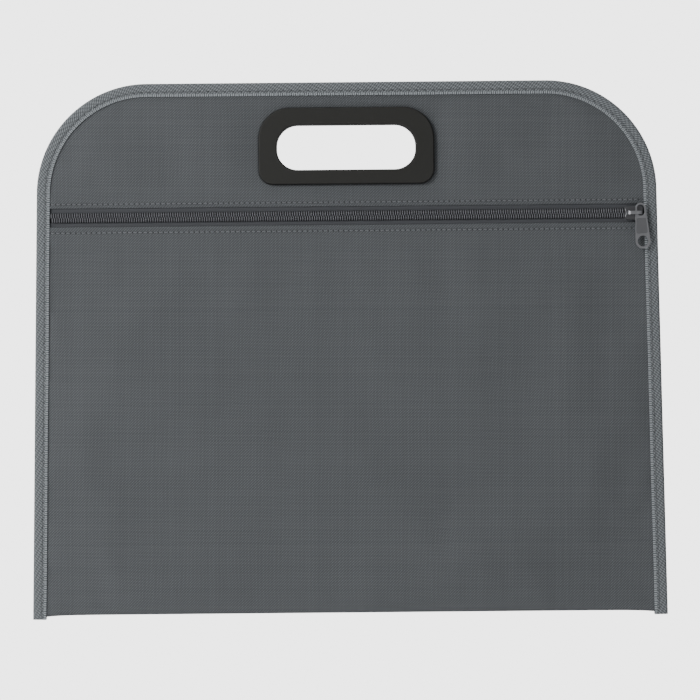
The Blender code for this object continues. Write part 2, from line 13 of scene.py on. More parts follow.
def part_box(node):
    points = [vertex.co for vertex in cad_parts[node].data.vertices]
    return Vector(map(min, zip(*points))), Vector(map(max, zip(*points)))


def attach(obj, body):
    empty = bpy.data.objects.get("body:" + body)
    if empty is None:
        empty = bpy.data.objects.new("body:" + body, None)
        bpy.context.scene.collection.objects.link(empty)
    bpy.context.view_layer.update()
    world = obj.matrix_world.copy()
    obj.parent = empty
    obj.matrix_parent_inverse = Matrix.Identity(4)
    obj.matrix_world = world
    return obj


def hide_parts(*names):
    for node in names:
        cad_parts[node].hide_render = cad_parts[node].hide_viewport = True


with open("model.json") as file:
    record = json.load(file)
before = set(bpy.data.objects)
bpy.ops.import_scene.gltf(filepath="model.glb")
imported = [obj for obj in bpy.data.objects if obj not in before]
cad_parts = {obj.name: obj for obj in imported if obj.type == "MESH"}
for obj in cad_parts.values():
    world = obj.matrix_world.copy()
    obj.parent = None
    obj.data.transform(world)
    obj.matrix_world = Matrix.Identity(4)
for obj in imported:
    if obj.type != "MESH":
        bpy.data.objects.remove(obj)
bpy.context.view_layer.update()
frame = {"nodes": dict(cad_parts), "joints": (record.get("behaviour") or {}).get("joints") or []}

MM = 0.001
TOUCH = 0.001 * MM
TURN = 2 * math.pi
UPRIGHT = (math.pi / 2, 0, 0)
NEEDLE_PITCHES = (3.14 * MM, 3.08 * MM)
Colour = tuple[float, float, float, float]
Point = tuple[float, float, float]
Row = tuple[float, float, int]
Socket = bpy.types.NodeSocket
Item = bpy.types.Object
Material = bpy.types.Material
log = logging.getLogger("zipped_bag")


class Body(Enum):
    """The rigid bodies that pieces ride on."""

    BAG = "bag"
    SLIDER = "slider"
    TAB = "tab"


class Slot(Enum):
    """The record's material slots."""

    CLOTH = "cloth"
    BINDING = "binding"
    ZIP_TAPE = "zip_tape"
    COIL = "coil"
    METAL = "metal"
    PLASTIC = "plastic"
    THREAD = "thread"


class Side(Enum):
    """Above or below the zip's centre line."""

    UPPER = 1
    LOWER = -1


# Finishes


def srgb(red: float, green: float, blue: float) -> Colour:
    """An 8-bit display colour as the linear colour a shader takes.

    Args:
        red: red, 0 to 255.
        green: green, 0 to 255.
        blue: blue, 0 to 255.

    Returns:
        The linear colour with an alpha of 1.
    """

    def straight(value: float) -> float:
        """One channel made linear."""
        value /= 255
        return value / 12.92 if value <= 0.04045 else ((value + 0.055) / 1.055) ** 2.4

    return (straight(red), straight(green), straight(blue), 1.0)


class Value:
    """A number in a material that takes ordinary arithmetic, one Math node for each step."""

    def __init__(self, graph: "Graph", socket: Socket) -> None:
        """Hold the socket that the number comes out of."""
        self.graph = graph
        self.socket = socket

    def __add__(self, other: "Value | float") -> "Value":
        """self + other."""
        return self.graph.math("ADD", self, other)

    def __sub__(self, other: "Value | float") -> "Value":
        """self - other."""
        return self.graph.math("SUBTRACT", self, other)

    def __rsub__(self, other: float) -> "Value":
        """other - self."""
        return self.graph.math("SUBTRACT", other, self)

    def __mul__(self, other: "Value | float") -> "Value":
        """self * other."""
        return self.graph.math("MULTIPLY", self, other)

    def __truediv__(self, other: float) -> "Value":
        """self / other."""
        return self.graph.math("DIVIDE", self, other)

    def __pow__(self, power: float) -> "Value":
        """self ** power."""
        return self.graph.math("POWER", self, power)

    def __abs__(self) -> "Value":
        """The size without the sign."""
        return self.graph.math("ABSOLUTE", self)

    def __gt__(self, other: float) -> "Value":
        """1 where self is greater, otherwise 0."""
        return self.graph.math("GREATER_THAN", self, other)

    def __lt__(self, other: float) -> "Value":
        """1 where self is less, otherwise 0."""
        return self.graph.math("LESS_THAN", self, other)

    def scaled(self, scale: float, bias: float) -> "Value":
        """self * scale + bias."""
        return self.graph.math("MULTIPLY_ADD", self, scale, bias)

    def varied(self, noise: "Value", spread: float) -> "Value":
        """self with a noise added that is centred on 0 and as wide as spread."""
        return self + noise.scaled(spread, -spread / 2)

    def at_least(self, floor: float) -> "Value":
        """self, or floor where that is more."""
        return self.graph.math("MAXIMUM", self, floor)

    def at_most(self, ceiling: float) -> "Value":
        """self, or ceiling where that is less."""
        return self.graph.math("MINIMUM", self, ceiling)


class Graph:
    """A material's node tree with short calls for the nodes that the finishes are built from."""

    def __init__(self, name: str) -> None:
        """Start an empty material of that name."""
        self.material = bpy.data.materials.new(name)
        self.material.use_nodes = True
        self.tree = self.material.node_tree
        self.shader = self.tree.nodes["Principled BSDF"]

    def link(self, source: Value | Socket | float, target: Socket) -> None:
        """Feed a socket from a value or another socket, or with a plain number.

        Args:
            source: what feeds it.
            target: the socket that is fed.
        """
        if isinstance(source, Value):
            source = source.socket
        if isinstance(source, Socket):
            self.tree.links.new(source, target)
        else:
            target.default_value = source

    def math(self, operation: str, *inputs: Value | float) -> Value:
        """One Math node.

        Args:
            operation: the node's operation, such as PINGPONG.
            *inputs: one to three inputs.

        Returns:
            The node's result.
        """
        node = self.tree.nodes.new("ShaderNodeMath")
        node.operation = operation
        for socket, value in zip(node.inputs, inputs):
            self.link(value, socket)
        return Value(self, node.outputs[0])

    def axes(self, source: str) -> tuple[Value, Value, Value]:
        """The x, y and z of UV or Object coordinates, in metres.

        Args:
            source: UV or Object.

        Returns:
            The three values.
        """
        coordinates = self.tree.nodes.new("ShaderNodeTexCoord")
        split = self.tree.nodes.new("ShaderNodeSeparateXYZ")
        self.link(coordinates.outputs[source], split.inputs[0])
        return tuple(Value(self, socket) for socket in split.outputs)

    def vector(self, *axes: Value) -> Socket:
        """Join two or three values into a vector.

        Args:
            *axes: the values.

        Returns:
            The vector's socket.
        """
        node = self.tree.nodes.new("ShaderNodeCombineXYZ")
        for socket, value in zip(node.inputs, axes):
            self.link(value, socket)
        return node.outputs[0]

    def noise(self, vector: Socket, scale: float, detail: float = 2.0, roughness: float = 0.5) -> Value:
        """Smooth noise between about 0 and 1.

        Args:
            vector: where it is read.
            scale: features per metre.
            detail: octaves.
            roughness: how strong the finer octaves are.

        Returns:
            The noise value.
        """
        node = self.tree.nodes.new("ShaderNodeTexNoise")
        self.link(vector, node.inputs["Vector"])
        node.inputs["Scale"].default_value = scale
        node.inputs["Detail"].default_value = detail
        node.inputs["Roughness"].default_value = roughness
        return Value(self, node.outputs["Fac"])

    def scatter(self, value: Value) -> Value:
        """A random value for each whole number that comes in.

        Args:
            value: the number.

        Returns:
            A value between 0 and 1.
        """
        node = self.tree.nodes.new("ShaderNodeTexWhiteNoise")
        node.noise_dimensions = "1D"
        self.link(value, node.inputs["W"])
        return Value(self, node.outputs["Value"])

    def wave(self, phase: Value) -> Value:
        """A sine between 0 and 1."""
        return self.math("SINE", phase).scaled(0.5, 0.5)

    def distance(self, first: Value, second: Value) -> Value:
        """The length of two distances at right angles."""
        return self.math("SQRT", first**2.0 + second**2.0)

    def spot(self, distance: Value, size: float, softness: float) -> Value:
        """1 in a spot's middle, falling to 0 at its size."""
        return 1.0 - self.math("SMOOTH_MIN", distance / size, 1.0, softness)

    def tint(self, colour: Colour, value: Value) -> Socket:
        """A colour made lighter or darker by a value round 1.

        Args:
            colour: the colour at 1.
            value: the brightness.

        Returns:
            The colour's socket.
        """
        node = self.tree.nodes.new("ShaderNodeVectorMath")
        node.operation = "SCALE"
        node.inputs[0].default_value = colour[:3]
        self.link(value, node.inputs["Scale"])
        return node.outputs[0]

    def bump(self, height: Value, distance: float, strength: float) -> None:
        """Raise the surface by a height pattern.

        Args:
            height: the pattern, 0 to 1.
            distance: how far 1 stands above 0, in metres.
            strength: how much of it is used.
        """
        node = self.tree.nodes.new("ShaderNodeBump")
        node.inputs["Distance"].default_value = distance
        node.inputs["Strength"].default_value = strength
        self.link(height, node.inputs["Height"])
        self.link(node.outputs[0], self.shader.inputs["Normal"])

    def finish(
        self,
        colour: Socket,
        roughness: Value | float,
        metallic: float = 0.0,
        specular: float = 0.5,
        sheen: float = 0.0,
    ) -> Material:
        """Set the shader's own sockets.

        Args:
            colour: base colour.
            roughness: roughness.
            metallic: 1 on bare metal.
            specular: specular level.
            sheen: weight of the soft edge light of cloth.

        Returns:
            The finished material.
        """
        self.link(colour, self.shader.inputs["Base Color"])
        self.link(roughness, self.shader.inputs["Roughness"])
        self.shader.inputs["Metallic"].default_value = metallic
        self.shader.inputs["Specular IOR Level"].default_value = specular
        self.shader.inputs["Sheen Weight"].default_value = sheen
        self.shader.inputs["Sheen Roughness"].default_value = 0.5
        return self.material


@dataclass(frozen=True)
class StitchHoles:
    """A row of needle holes along X on a panel's front."""

    z: float
    pitch: float
    start: float


@dataclass(frozen=True)
class PlateShadowOutline:
    """The outline of the plate that presses into a panel, as a box with round corners, round which a painted
    shadow is laid on the cloth.
    """

    half_width: float
    low: float
    high: float
    low_radius: float
    high_radius: float


@dataclass(frozen=True)
class PlainWeave:
    """Plain-woven polyester: warp and weft pass over each other in turn."""

    colour: Colour
    holes: tuple[StitchHoles, ...]
    plate: PlateShadowOutline
    warp_pitch: float = 0.82 * MM
    weft_pitch: float = 0.81 * MM
    relief: float = 0.16 * MM
    dip: float = 0.55
    contrast: float = 0.75
    tone_gap: float = 0.16
    lean: float = 0.24
    yarn_spread: float = 0.12
    patchiness: float = 0.10
    fuzz: float = 0.14
    wander: float = 3.0 * MM
    front_depth: float = -0.3 * MM
    hole_size: float = 0.75 * MM
    hole_shade: float = 0.7
    dent_size: float = 0.9 * MM
    dent_shade: float = 0.12
    gap: float = 1.2 * MM
    gap_shade: float = 0.9
    darkest: float = 0.05

    def painted_hole_shade(self, g: Graph, value: Value) -> Value:
        """Paint shade on the cloth at its needle holes and along the dent between them.

        Args:
            g: the graph being built.
            value: the brightness so far.

        Returns:
            The brightness with the painted shade of the holes.
        """
        x, y, z = g.axes("Object")
        front = y < self.front_depth
        for row in self.holes:
            beat = g.math("PINGPONG", x - row.start, row.pitch / 2)
            # Painted shade: each needle hole and the dent along the row are darkened where shade would fall.
            away = abs(z - row.z)
            hole = g.spot(g.distance(away, beat), self.hole_size, 0.3)
            dent = g.spot(away, self.dent_size, 0.4)
            dark = hole * self.hole_shade + dent * self.dent_shade
            value = value * (1.0 - dark * front)
        return value

    def plate_edge_shade(self, g: Graph, value: Value) -> Value:
        """Paint a shadow on the cloth in the narrow gap where it runs under the plate's edge.

        Args:
            g: the graph being built.
            value: the brightness so far.

        Returns:
            The brightness with the painted shadow in the gap.
        """
        plate = self.plate
        x, _, z = g.axes("Object")
        middle = (plate.low + plate.high) / 2
        radius = (z > middle).scaled(plate.high_radius - plate.low_radius, plate.low_radius)
        sideways = abs(x) - plate.half_width
        upwards = abs(z - middle) - (plate.high - plate.low) / 2
        # Painted shadow: darkest at the plate's outline, fading out across the gap.
        corner = g.distance((sideways + radius).at_least(0.0), (upwards + radius).at_least(0.0))
        shade = (1.0 - (corner - radius) / self.gap).at_least(0.0).at_most(1.0)
        return value * (shade * shade).scaled(-self.gap_shade, 1.0)

    def build(self, name: str) -> Material:
        """Make the material, read from the piece's UV map in metres.

        Args:
            name: the material's name.

        Returns:
            The material.
        """
        g = Graph(name)
        across, along, _ = g.axes("UV")
        place = g.vector(across, along)
        drift = g.noise(place, 14.0).scaled(self.wander, -self.wander / 2)
        sag = g.noise(g.vector(along, across), 11.0).scaled(self.wander, -self.wander / 2)
        warp = (across + drift) / self.warp_pitch
        weft = (along + sag) / self.weft_pitch
        warp_number = g.math("FLOOR", warp)
        weft_number = g.math("FLOOR", weft)
        warp_arch = g.math("SINE", g.math("FRACT", warp) * math.pi)
        weft_arch = g.math("SINE", g.math("FRACT", weft) * math.pi)
        turn = g.math("PINGPONG", warp_number + weft_number, 1.0)
        over = 1.0 - turn
        warp_over = warp_arch * weft_arch.scaled(self.dip, 1.0 - self.dip)
        weft_over = weft_arch * warp_arch.scaled(self.dip, 1.0 - self.dip)
        height = warp_over * over + weft_over * turn
        slant = g.math("COSINE", (warp - weft) * math.pi)
        yarn = g.scatter(warp_number) * over + g.scatter(weft_number + 0.37) * turn
        fibres = g.noise(g.vector(across * 2.0, along), 2600.0)
        # Brightness follows yarn height: partly the yarns' own tone, partly painted shade in the gaps
        # between yarns and painted light on their crowns.
        value = height.scaled(self.contrast, 1.0 - 0.55 * self.contrast)
        value = value.varied(over, self.tone_gap) + slant * self.lean
        value = value.varied(yarn, self.yarn_spread).varied(g.noise(place, 22.0, 3.0), self.patchiness)
        value = self.plate_edge_shade(g, self.painted_hole_shade(g, value.varied(fibres, self.fuzz))).at_least(self.darkest)
        g.bump(height, self.relief, 0.8)
        return g.finish(g.tint(self.colour, value), height.scaled(-0.12, 0.86), specular=0.28, sheen=0.06)


@dataclass(frozen=True)
class Twill:
    """Woven twill tape: diagonal ribs, and a closer-woven edge cord along each edge."""

    colour: Colour
    width: float
    rib: float = 1.7 * MM
    slope: float = 0.8
    float_length: float = 2.1 * MM
    float_step: float = 0.37
    edge: float = 1.45 * MM
    rung: float = 1.3 * MM
    rung_contrast: float = 1.15
    edge_lift: float = -0.2
    stitch_line: float = 2.8 * MM
    stitch_pitch: float = 5.0 * MM
    hole_size: float = 0.7 * MM
    hole_shade: float = 0.8
    contrast: float = 1.75
    patchiness: float = 0.14
    fuzz: float = 0.60
    darkest: float = 0.06
    relief: float = 0.14 * MM

    def yarn(self, g: Graph, distance: Value, repeat: float) -> Value:
        """A round-backed yarn each repeat, with a narrow gap between.

        Args:
            g: the graph being built.
            distance: distance across the yarns.
            repeat: distance from one yarn to the next.

        Returns:
            The yarns' height, 0 to 1.
        """
        share = g.math("FRACT", distance / repeat)
        return g.math("SINE", share * math.pi) ** 0.8

    def build(self, name: str) -> Material:
        """Make the material; UV runs along the tape and across it, in metres.

        Args:
            name: the material's name.

        Returns:
            The material.
        """
        g = Graph(name)
        along, across, _ = g.axes("UV")
        place = g.vector(along, across)
        waver = g.noise(place, 160.0).scaled(0.5 * MM, -0.25 * MM)
        slope = along - across * self.slope + waver
        stagger = g.math("FLOOR", slope / self.rib) * (self.float_step * self.float_length)
        dots = self.yarn(g, across * 1.25 + stagger, self.float_length)
        in_edge = abs(across - self.width / 2) > self.width / 2 - self.edge
        rungs = self.yarn(g, along, self.rung) * self.yarn(g, along, 2 * self.rung).scaled(0.5, 0.5)
        body = self.yarn(g, slope, self.rib) * dots.scaled(0.6, 0.4)
        height = body * (1.0 - in_edge) + rungs * in_edge
        fibres = g.noise(place, 1700.0)
        # Painted shade in the needle holes of the seam through the tape.
        beat = g.math("PINGPONG", along, self.stitch_pitch / 2)
        hole = g.spot(g.distance(abs(across - self.stitch_line), beat), self.hole_size, 0.3)
        value = height.scaled(self.contrast, 1.0 - 0.46 * self.contrast)
        value = value + in_edge * rungs.scaled(self.rung_contrast, self.edge_lift)
        value = value.varied(g.noise(place, 40.0), self.patchiness).varied(fibres, self.fuzz)
        value = (value * hole.scaled(-self.hole_shade, 1.0)).at_least(self.darkest)
        g.bump(height + fibres * 0.3, self.relief, 0.8)
        return g.finish(g.tint(self.colour, value), 0.82, specular=0.3, sheen=0.08)


@dataclass(frozen=True)
class TapeWeave:
    """The zip tape's close weave, with faint lines along its length and shade under the chain."""

    colour: Colour
    chain_z: float
    chain_reach: float
    pitch: float = 0.55 * MM
    relief: float = 0.10 * MM
    chain_shade: float = 0.72

    def build(self, name: str) -> Material:
        """Make the material, read from object coordinates.

        Args:
            name: the material's name.

        Returns:
            The material.
        """
        g = Graph(name)
        x, _, z = g.axes("Object")
        lines = g.wave(z * (TURN / self.pitch))
        herring = g.wave((x + z * 0.6) * (TURN / (2 * self.pitch)))
        height = lines * herring.scaled(0.5, 0.5)
        place = g.vector(x, z)
        value = height.scaled(0.22, 0.88)
        value = value.varied(g.noise(place, 1800.0), 0.14).varied(g.noise(place, 30.0), 0.10)
        shade = (g.spot(abs(z - self.chain_z), self.chain_reach, 0.1) * 6.0).at_most(1.0)
        value = value * shade.scaled(-self.chain_shade, 1.0)
        g.bump(height, self.relief, 0.7)
        return g.finish(g.tint(self.colour, value), 0.8, specular=0.3, sheen=0.05)


@dataclass(frozen=True)
class Grained:
    """A moulded, extruded or cast surface: fine grain, faint wear, uneven gloss and painted shade on deeper
    parts.
    """

    colour: Colour
    roughness: float
    metallic: float = 0.0
    specular: float = 0.5
    grain: float = 0.02 * MM
    grain_scale: float = 2500.0
    mottling: float = 0.08
    gloss_spread: float = 0.12
    lit_depth: float | None = None
    shade_depth: float = 0.6 * MM
    shade: float = 0.88

    def build(self, name: str) -> Material:
        """Make the material, read from object coordinates.

        Args:
            name: the material's name.

        Returns:
            The material.
        """
        g = Graph(name)
        x, y, z = g.axes("Object")
        place = g.vector(x, y, z)
        grain = g.noise(place, self.grain_scale, 3.0, 0.6)
        mottle = g.noise(place, self.grain_scale / 12, 3.0)
        value = mottle.scaled(self.mottling, 1.0 - self.mottling / 2).varied(grain, self.mottling)
        # Painted shade: parts lying deeper than lit_depth are darkened, as if in shade.
        if self.lit_depth is not None:
            buried = ((y - self.lit_depth) / self.shade_depth).at_least(0.0).at_most(1.0)
            value = value * buried.scaled(-self.shade, 1.0)
        gloss = mottle.scaled(self.gloss_spread, self.roughness - self.gloss_spread / 2)
        g.bump(grain, self.grain, 0.8)
        return g.finish(g.tint(self.colour, value), gloss, self.metallic, self.specular)


@dataclass(frozen=True)
class TwistedThread:
    """Sewing thread: plies wound round each other."""

    colour: Colour
    ply_pitch: float = 0.5 * MM
    relief: float = 0.05 * MM

    def build(self, name: str) -> Material:
        """Make the material, read from object coordinates.

        Args:
            name: the material's name.

        Returns:
            The material.
        """
        g = Graph(name)
        x, y, z = g.axes("Object")
        ply = g.wave((x + z + y * 1.7) * (TURN / self.ply_pitch))
        value = ply.scaled(0.3, 0.82).varied(g.noise(g.vector(x, y, z), 3000.0), 0.2)
        g.bump(ply, self.relief, 0.8)
        return g.finish(g.tint(self.colour, value), 0.7, specular=0.35, sheen=0.1)


BLACK_PLASTIC = Grained(srgb(43, 43, 41), 0.56, specular=0.24, grain=0.03 * MM, grain_scale=3200.0)
COIL_NYLON = Grained(srgb(106, 107, 112), 0.36, grain=0.01 * MM, mottling=0.12)
GUNMETAL = Grained(srgb(160, 161, 165), 0.32, metallic=0.8, grain=0.015 * MM, grain_scale=1800.0)
SEAM_THREAD = TwistedThread(srgb(118, 121, 125))
BINDING_THREAD = TwistedThread(srgb(98, 101, 104))
PANEL_COLOUR = srgb(87, 90, 93)
BINDING_COLOUR = srgb(101, 105, 108)
TAPE_COLOUR = srgb(79, 81, 85)
PAPER_COLOUR = (0.94, 0.94, 0.94, 1)


# Modelling helpers


def deselect_all() -> None:
    """Leave edit mode and deselect every object."""
    if bpy.context.object and bpy.context.object.mode != "OBJECT":
        bpy.ops.object.mode_set(mode="OBJECT")
    bpy.ops.object.select_all(action="DESELECT")


def activate(item: Item) -> None:
    """Make one object the only selected one, and the active one."""
    deselect_all()
    item.select_set(True)
    bpy.context.view_layer.objects.active = item


def pick(item: Item, keep: Callable[[Vector], bool], kind: str = "EDGE") -> None:
    """Go into edit mode with the vertices, edges or faces whose every corner passes a test selected.

    Args:
        item: the mesh object.
        keep: the test, on a corner's place.
        kind: VERT, EDGE or FACE.
    """
    activate(item)
    mesh = item.data
    inside = [keep(v.co) for v in mesh.vertices]
    for group in (mesh.vertices, mesh.edges, mesh.polygons):
        group.foreach_set("select", [False] * len(group))
    if kind == "VERT":
        mesh.vertices.foreach_set("select", inside)
    elif kind == "EDGE":
        mesh.edges.foreach_set("select", [all(inside[v] for v in e.vertices) for e in mesh.edges])
    else:
        mesh.polygons.foreach_set("select", [all(inside[v] for v in p.vertices) for p in mesh.polygons])
    bpy.ops.object.mode_set(mode="EDIT")
    bpy.ops.mesh.select_mode(type=kind)


def leave_edit() -> None:
    """Back to object mode."""
    bpy.ops.object.mode_set(mode="OBJECT")


def modify(item: Item, kind: str, **settings: object) -> None:
    """Add a modifier with its settings and apply it.

    Args:
        item: the object.
        kind: the modifier's type.
        **settings: its properties.
    """
    activate(item)
    modifier = item.modifiers.new(kind.lower(), kind)
    for name, value in settings.items():
        setattr(modifier, name, value)
    bpy.ops.object.modifier_apply(modifier=modifier.name)


def primitive(add: Callable[..., set[str]], **settings: object) -> Item:
    """Add a primitive mesh, with its place and its turn applied.

    Args:
        add: the operator that adds it.
        **settings: the operator's settings.

    Returns:
        The new object.
    """
    deselect_all()
    add(**settings)
    bpy.ops.object.transform_apply(location=True, rotation=True, scale=True)
    return bpy.context.object


def cut(item: Item, cutter: Item) -> None:
    """Take a cutter's shape out of an object and remove the cutter."""
    modify(item, "BOOLEAN", object=cutter, operation="DIFFERENCE")
    bpy.data.objects.remove(cutter)


def outward_normals(item: Item) -> None:
    """Merge doubles and turn every face outwards.

    Args:
        item: the mesh object.
    """
    pick(item, lambda _: True, "VERT")
    bpy.ops.mesh.remove_doubles(threshold=2 * TOUCH)
    bpy.ops.mesh.select_all(action="SELECT")
    bpy.ops.mesh.normals_make_consistent(inside=False)
    leave_edit()


def smooth(item: Item, degrees: float = 40.0) -> None:
    """Shade smooth, with edges sharper than an angle kept crisp."""
    activate(item)
    bpy.ops.object.shade_smooth_by_angle(angle=math.radians(degrees))


def crisp(item: Item, degrees: float) -> None:
    """Shade smooth with the large flat faces kept flat.

    Args:
        item: the object.
        degrees: edges sharper than this stay crisp.
    """
    smooth(item, degrees)
    modify(item, "WEIGHTED_NORMAL", keep_sharp=True)


def dress(item: Item, material: Material) -> None:
    """Give an object one material."""
    item.data.materials.clear()
    item.data.materials.append(material)


def install(item: Item, body: Body, slot: Slot, *nodes: str) -> Item:
    """Put a finished piece on its body, in place of CAD nodes.

    Args:
        item: the piece.
        body: what it moves with.
        slot: its material slot.
        *nodes: the CAD nodes it stands for.

    Returns:
        The piece.
    """
    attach(item, body.value)
    if nodes:
        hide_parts(*nodes)
    log.info("%s rides on %s, %d faces", item.name, body.value, len(item.data.polygons))
    return item


def sheet_from_grid(name: str, places: np.ndarray, coordinates: np.ndarray) -> Item:
    """A grid primitive laid out over an array of places, with its UV map in metres.

    Args:
        name: the piece's name.
        places: rows by columns by 3, in metres.
        coordinates: rows by columns by 2, the UV of each corner.

    Returns:
        The sheet.
    """
    rows, columns = places.shape[:2]
    deselect_all()
    bpy.ops.mesh.primitive_grid_add(x_subdivisions=columns - 1, y_subdivisions=rows - 1, size=1)
    item = bpy.context.object
    item.name = name
    mesh = item.data
    mesh.name = name
    mesh.vertices.foreach_set("co", places.reshape(-1).astype(np.float32))
    corners = np.empty(len(mesh.loops), np.int32)
    mesh.loops.foreach_get("vertex_index", corners)
    flat = coordinates.reshape(-1, 2)[corners]
    mesh.uv_layers[0].data.foreach_set("uv", flat.reshape(-1).astype(np.float32))
    mesh.update()
    return item


def stamp(name: str, template: Item, places: list[Matrix]) -> Item:
    """One mesh made of copies of a template, which is removed.

    Args:
        name: the new piece's name.
        template: the shape that repeats.
        places: where each copy goes.

    Returns:
        The new piece.
    """
    source = template.data
    count = len(source.vertices)
    base = np.empty(count * 3, np.float32)
    source.vertices.foreach_get("co", base)
    base = np.c_[base.reshape(-1, 3), np.ones(count)]
    faces = [tuple(p.vertices) for p in source.polygons]
    verts = np.concatenate([base @ np.array(m).T[:, :3] for m in places])
    mesh = bpy.data.meshes.new(name)
    faces = [[v + k * count for v in face] for k in range(len(places)) for face in faces]
    mesh.from_pydata(verts.tolist(), [], faces)
    mesh.polygons.foreach_set("use_smooth", [True] * len(mesh.polygons))
    item = bpy.data.objects.new(name, mesh)
    bpy.context.scene.collection.objects.link(item)
    bpy.data.objects.remove(template)
    return item


def tube(name: str, points: np.ndarray, radius: float, sides_each: int = 1) -> Item:
    """A round wire through points, as a mesh with closed ends.

    Args:
        name: the piece's name.
        points: rows of 3.
        radius: the wire's radius.
        sides_each: bevel resolution.

    Returns:
        The wire.
    """
    curve = bpy.data.curves.new(name, "CURVE")
    curve.dimensions = "3D"
    curve.bevel_depth = radius
    curve.bevel_resolution = sides_each
    curve.use_fill_caps = True
    spline = curve.splines.new("POLY")
    spline.points.add(len(points) - 1)
    spline.points.foreach_set("co", np.c_[points, np.ones(len(points))].reshape(-1))
    item = bpy.data.objects.new(name, curve)
    bpy.context.scene.collection.objects.link(item)
    activate(item)
    bpy.ops.object.convert(target="MESH")
    item = bpy.context.object
    outward_normals(item)
    item.data.polygons.foreach_set("use_smooth", [True] * len(item.data.polygons))
    return item


def chain_line() -> tuple[float, float]:
    """The height of the zip's centre line, and how far the coils reach from it."""
    low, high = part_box("zip_coil_lower")[0].z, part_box("zip_coil_upper")[1].z
    return (low + high) / 2, (high - low) / 2


# The bag's outline


@dataclass(frozen=True)
class Outline:
    """The outer edge of the hanging bag, in its XZ plane."""

    low: float
    top: float
    half_bottom: float
    taper: float = 0.0175
    corner: float = 65 * MM

    @classmethod
    def from_frame(cls) -> "Outline":
        """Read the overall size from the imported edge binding.

        Returns:
            The outline.
        """
        low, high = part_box("edge_binding")
        return cls(low.z, high.z, high.x)

    @property
    def corner_z(self) -> float:
        """Height at which the corners start to turn."""
        return self.top - self.corner

    def half_width(self, z: np.ndarray | float, inset: float = 0.0) -> np.ndarray:
        """Half the width at a height.

        Args:
            z: the height.
            inset: how far inside the outer edge.

        Returns:
            Half the width there.
        """
        side = self.half_bottom - self.taper * (np.asarray(z) - self.low)
        rise = np.clip(np.asarray(z) - self.corner_z, 0, self.corner - inset)
        radius = self.corner - inset
        return np.where(rise > 0, side - self.corner + np.sqrt(radius**2 - rise**2), side - inset)

    def depth_inside(self, x: np.ndarray, z: np.ndarray) -> np.ndarray:
        """How far points lie inside the side and top edges.

        Args:
            x: places across.
            z: places up.

        Returns:
            The depth of each point.
        """
        side = self.half_bottom - self.taper * (z - self.low)
        dx = np.abs(x) - (side - self.corner)
        dz = z - self.corner_z
        in_corner = (dx > 0) & (dz > 0)
        straight = self.corner - np.maximum(dx, dz)
        return np.where(in_corner, self.corner - np.hypot(dx, dz), straight)

    def trace(self, spacing: float) -> tuple[np.ndarray, np.ndarray, np.ndarray]:
        """Walk up the left side, over the top and down the right side.

        Args:
            spacing: distance between stations.

        Returns:
            Each station's distance walked, its (x, z) and its outward direction.
        """
        angles = np.linspace(0, math.pi / 2, 60)
        arc_z = self.corner_z + self.corner * np.sin(angles)
        z = np.concatenate([np.linspace(self.low, self.corner_z, 40)[:-1], arc_z])
        half = self.half_width(z)
        left = np.c_[-half, z]
        line = np.concatenate([left, left[::-1] * (-1, 1)])
        walked = np.r_[0, np.cumsum(np.hypot(*np.diff(line, axis=0).T))]
        stations = np.linspace(0, walked[-1], round(walked[-1] / spacing) + 1)
        places = np.c_[np.interp(stations, walked, line[:, 0]), np.interp(stations, walked, line[:, 1])]
        heading = np.gradient(places, axis=0)
        heading /= np.hypot(*heading.T)[:, None]
        return stations, places, np.c_[-heading[:, 1], heading[:, 0]]


def ease(distance: np.ndarray, reach: float) -> np.ndarray:
    """0 at a seam, rising steeply and levelling out to 1 at reach."""
    return 1 - (1 - np.clip(distance / reach, 0, 1)) ** 2


def ripple(x: np.ndarray, z: np.ndarray, seed: int, size: float) -> np.ndarray:
    """Soft uneven waves between about -1 and 1, the same each run.

    Args:
        x: places across.
        z: places up.
        seed: picks the waves.
        size: the waves' usual length.

    Returns:
        The height of the waves at each place.
    """
    chance = np.random.default_rng(seed)
    total = np.zeros_like(x)
    for _ in range(9):
        angle, phase = chance.uniform(0, TURN, 2)
        length = size * chance.uniform(0.6, 1.8)
        total += np.sin(TURN * (x * math.cos(angle) + z * math.sin(angle)) / length + phase)
    return total / 4


def walked(y: np.ndarray, z: np.ndarray, column: int) -> np.ndarray:
    """Distance along a sheet's column from its first row to each row."""
    steps = np.hypot(np.diff(y[:, column]), np.diff(z[:, column]))
    return np.r_[0, np.cumsum(steps)]


# Cloth


@dataclass(frozen=True)
class ClothSettings:
    """How a panel is relaxed."""

    frames: int = 18
    quality: int = 6
    mass: float = 0.3
    tension: float = 60.0
    shear: float = 30.0
    bending: float = 8.0
    pressure: float = 0.6
    slack: float = 0.0008
    furthest: float = 2.5 * MM


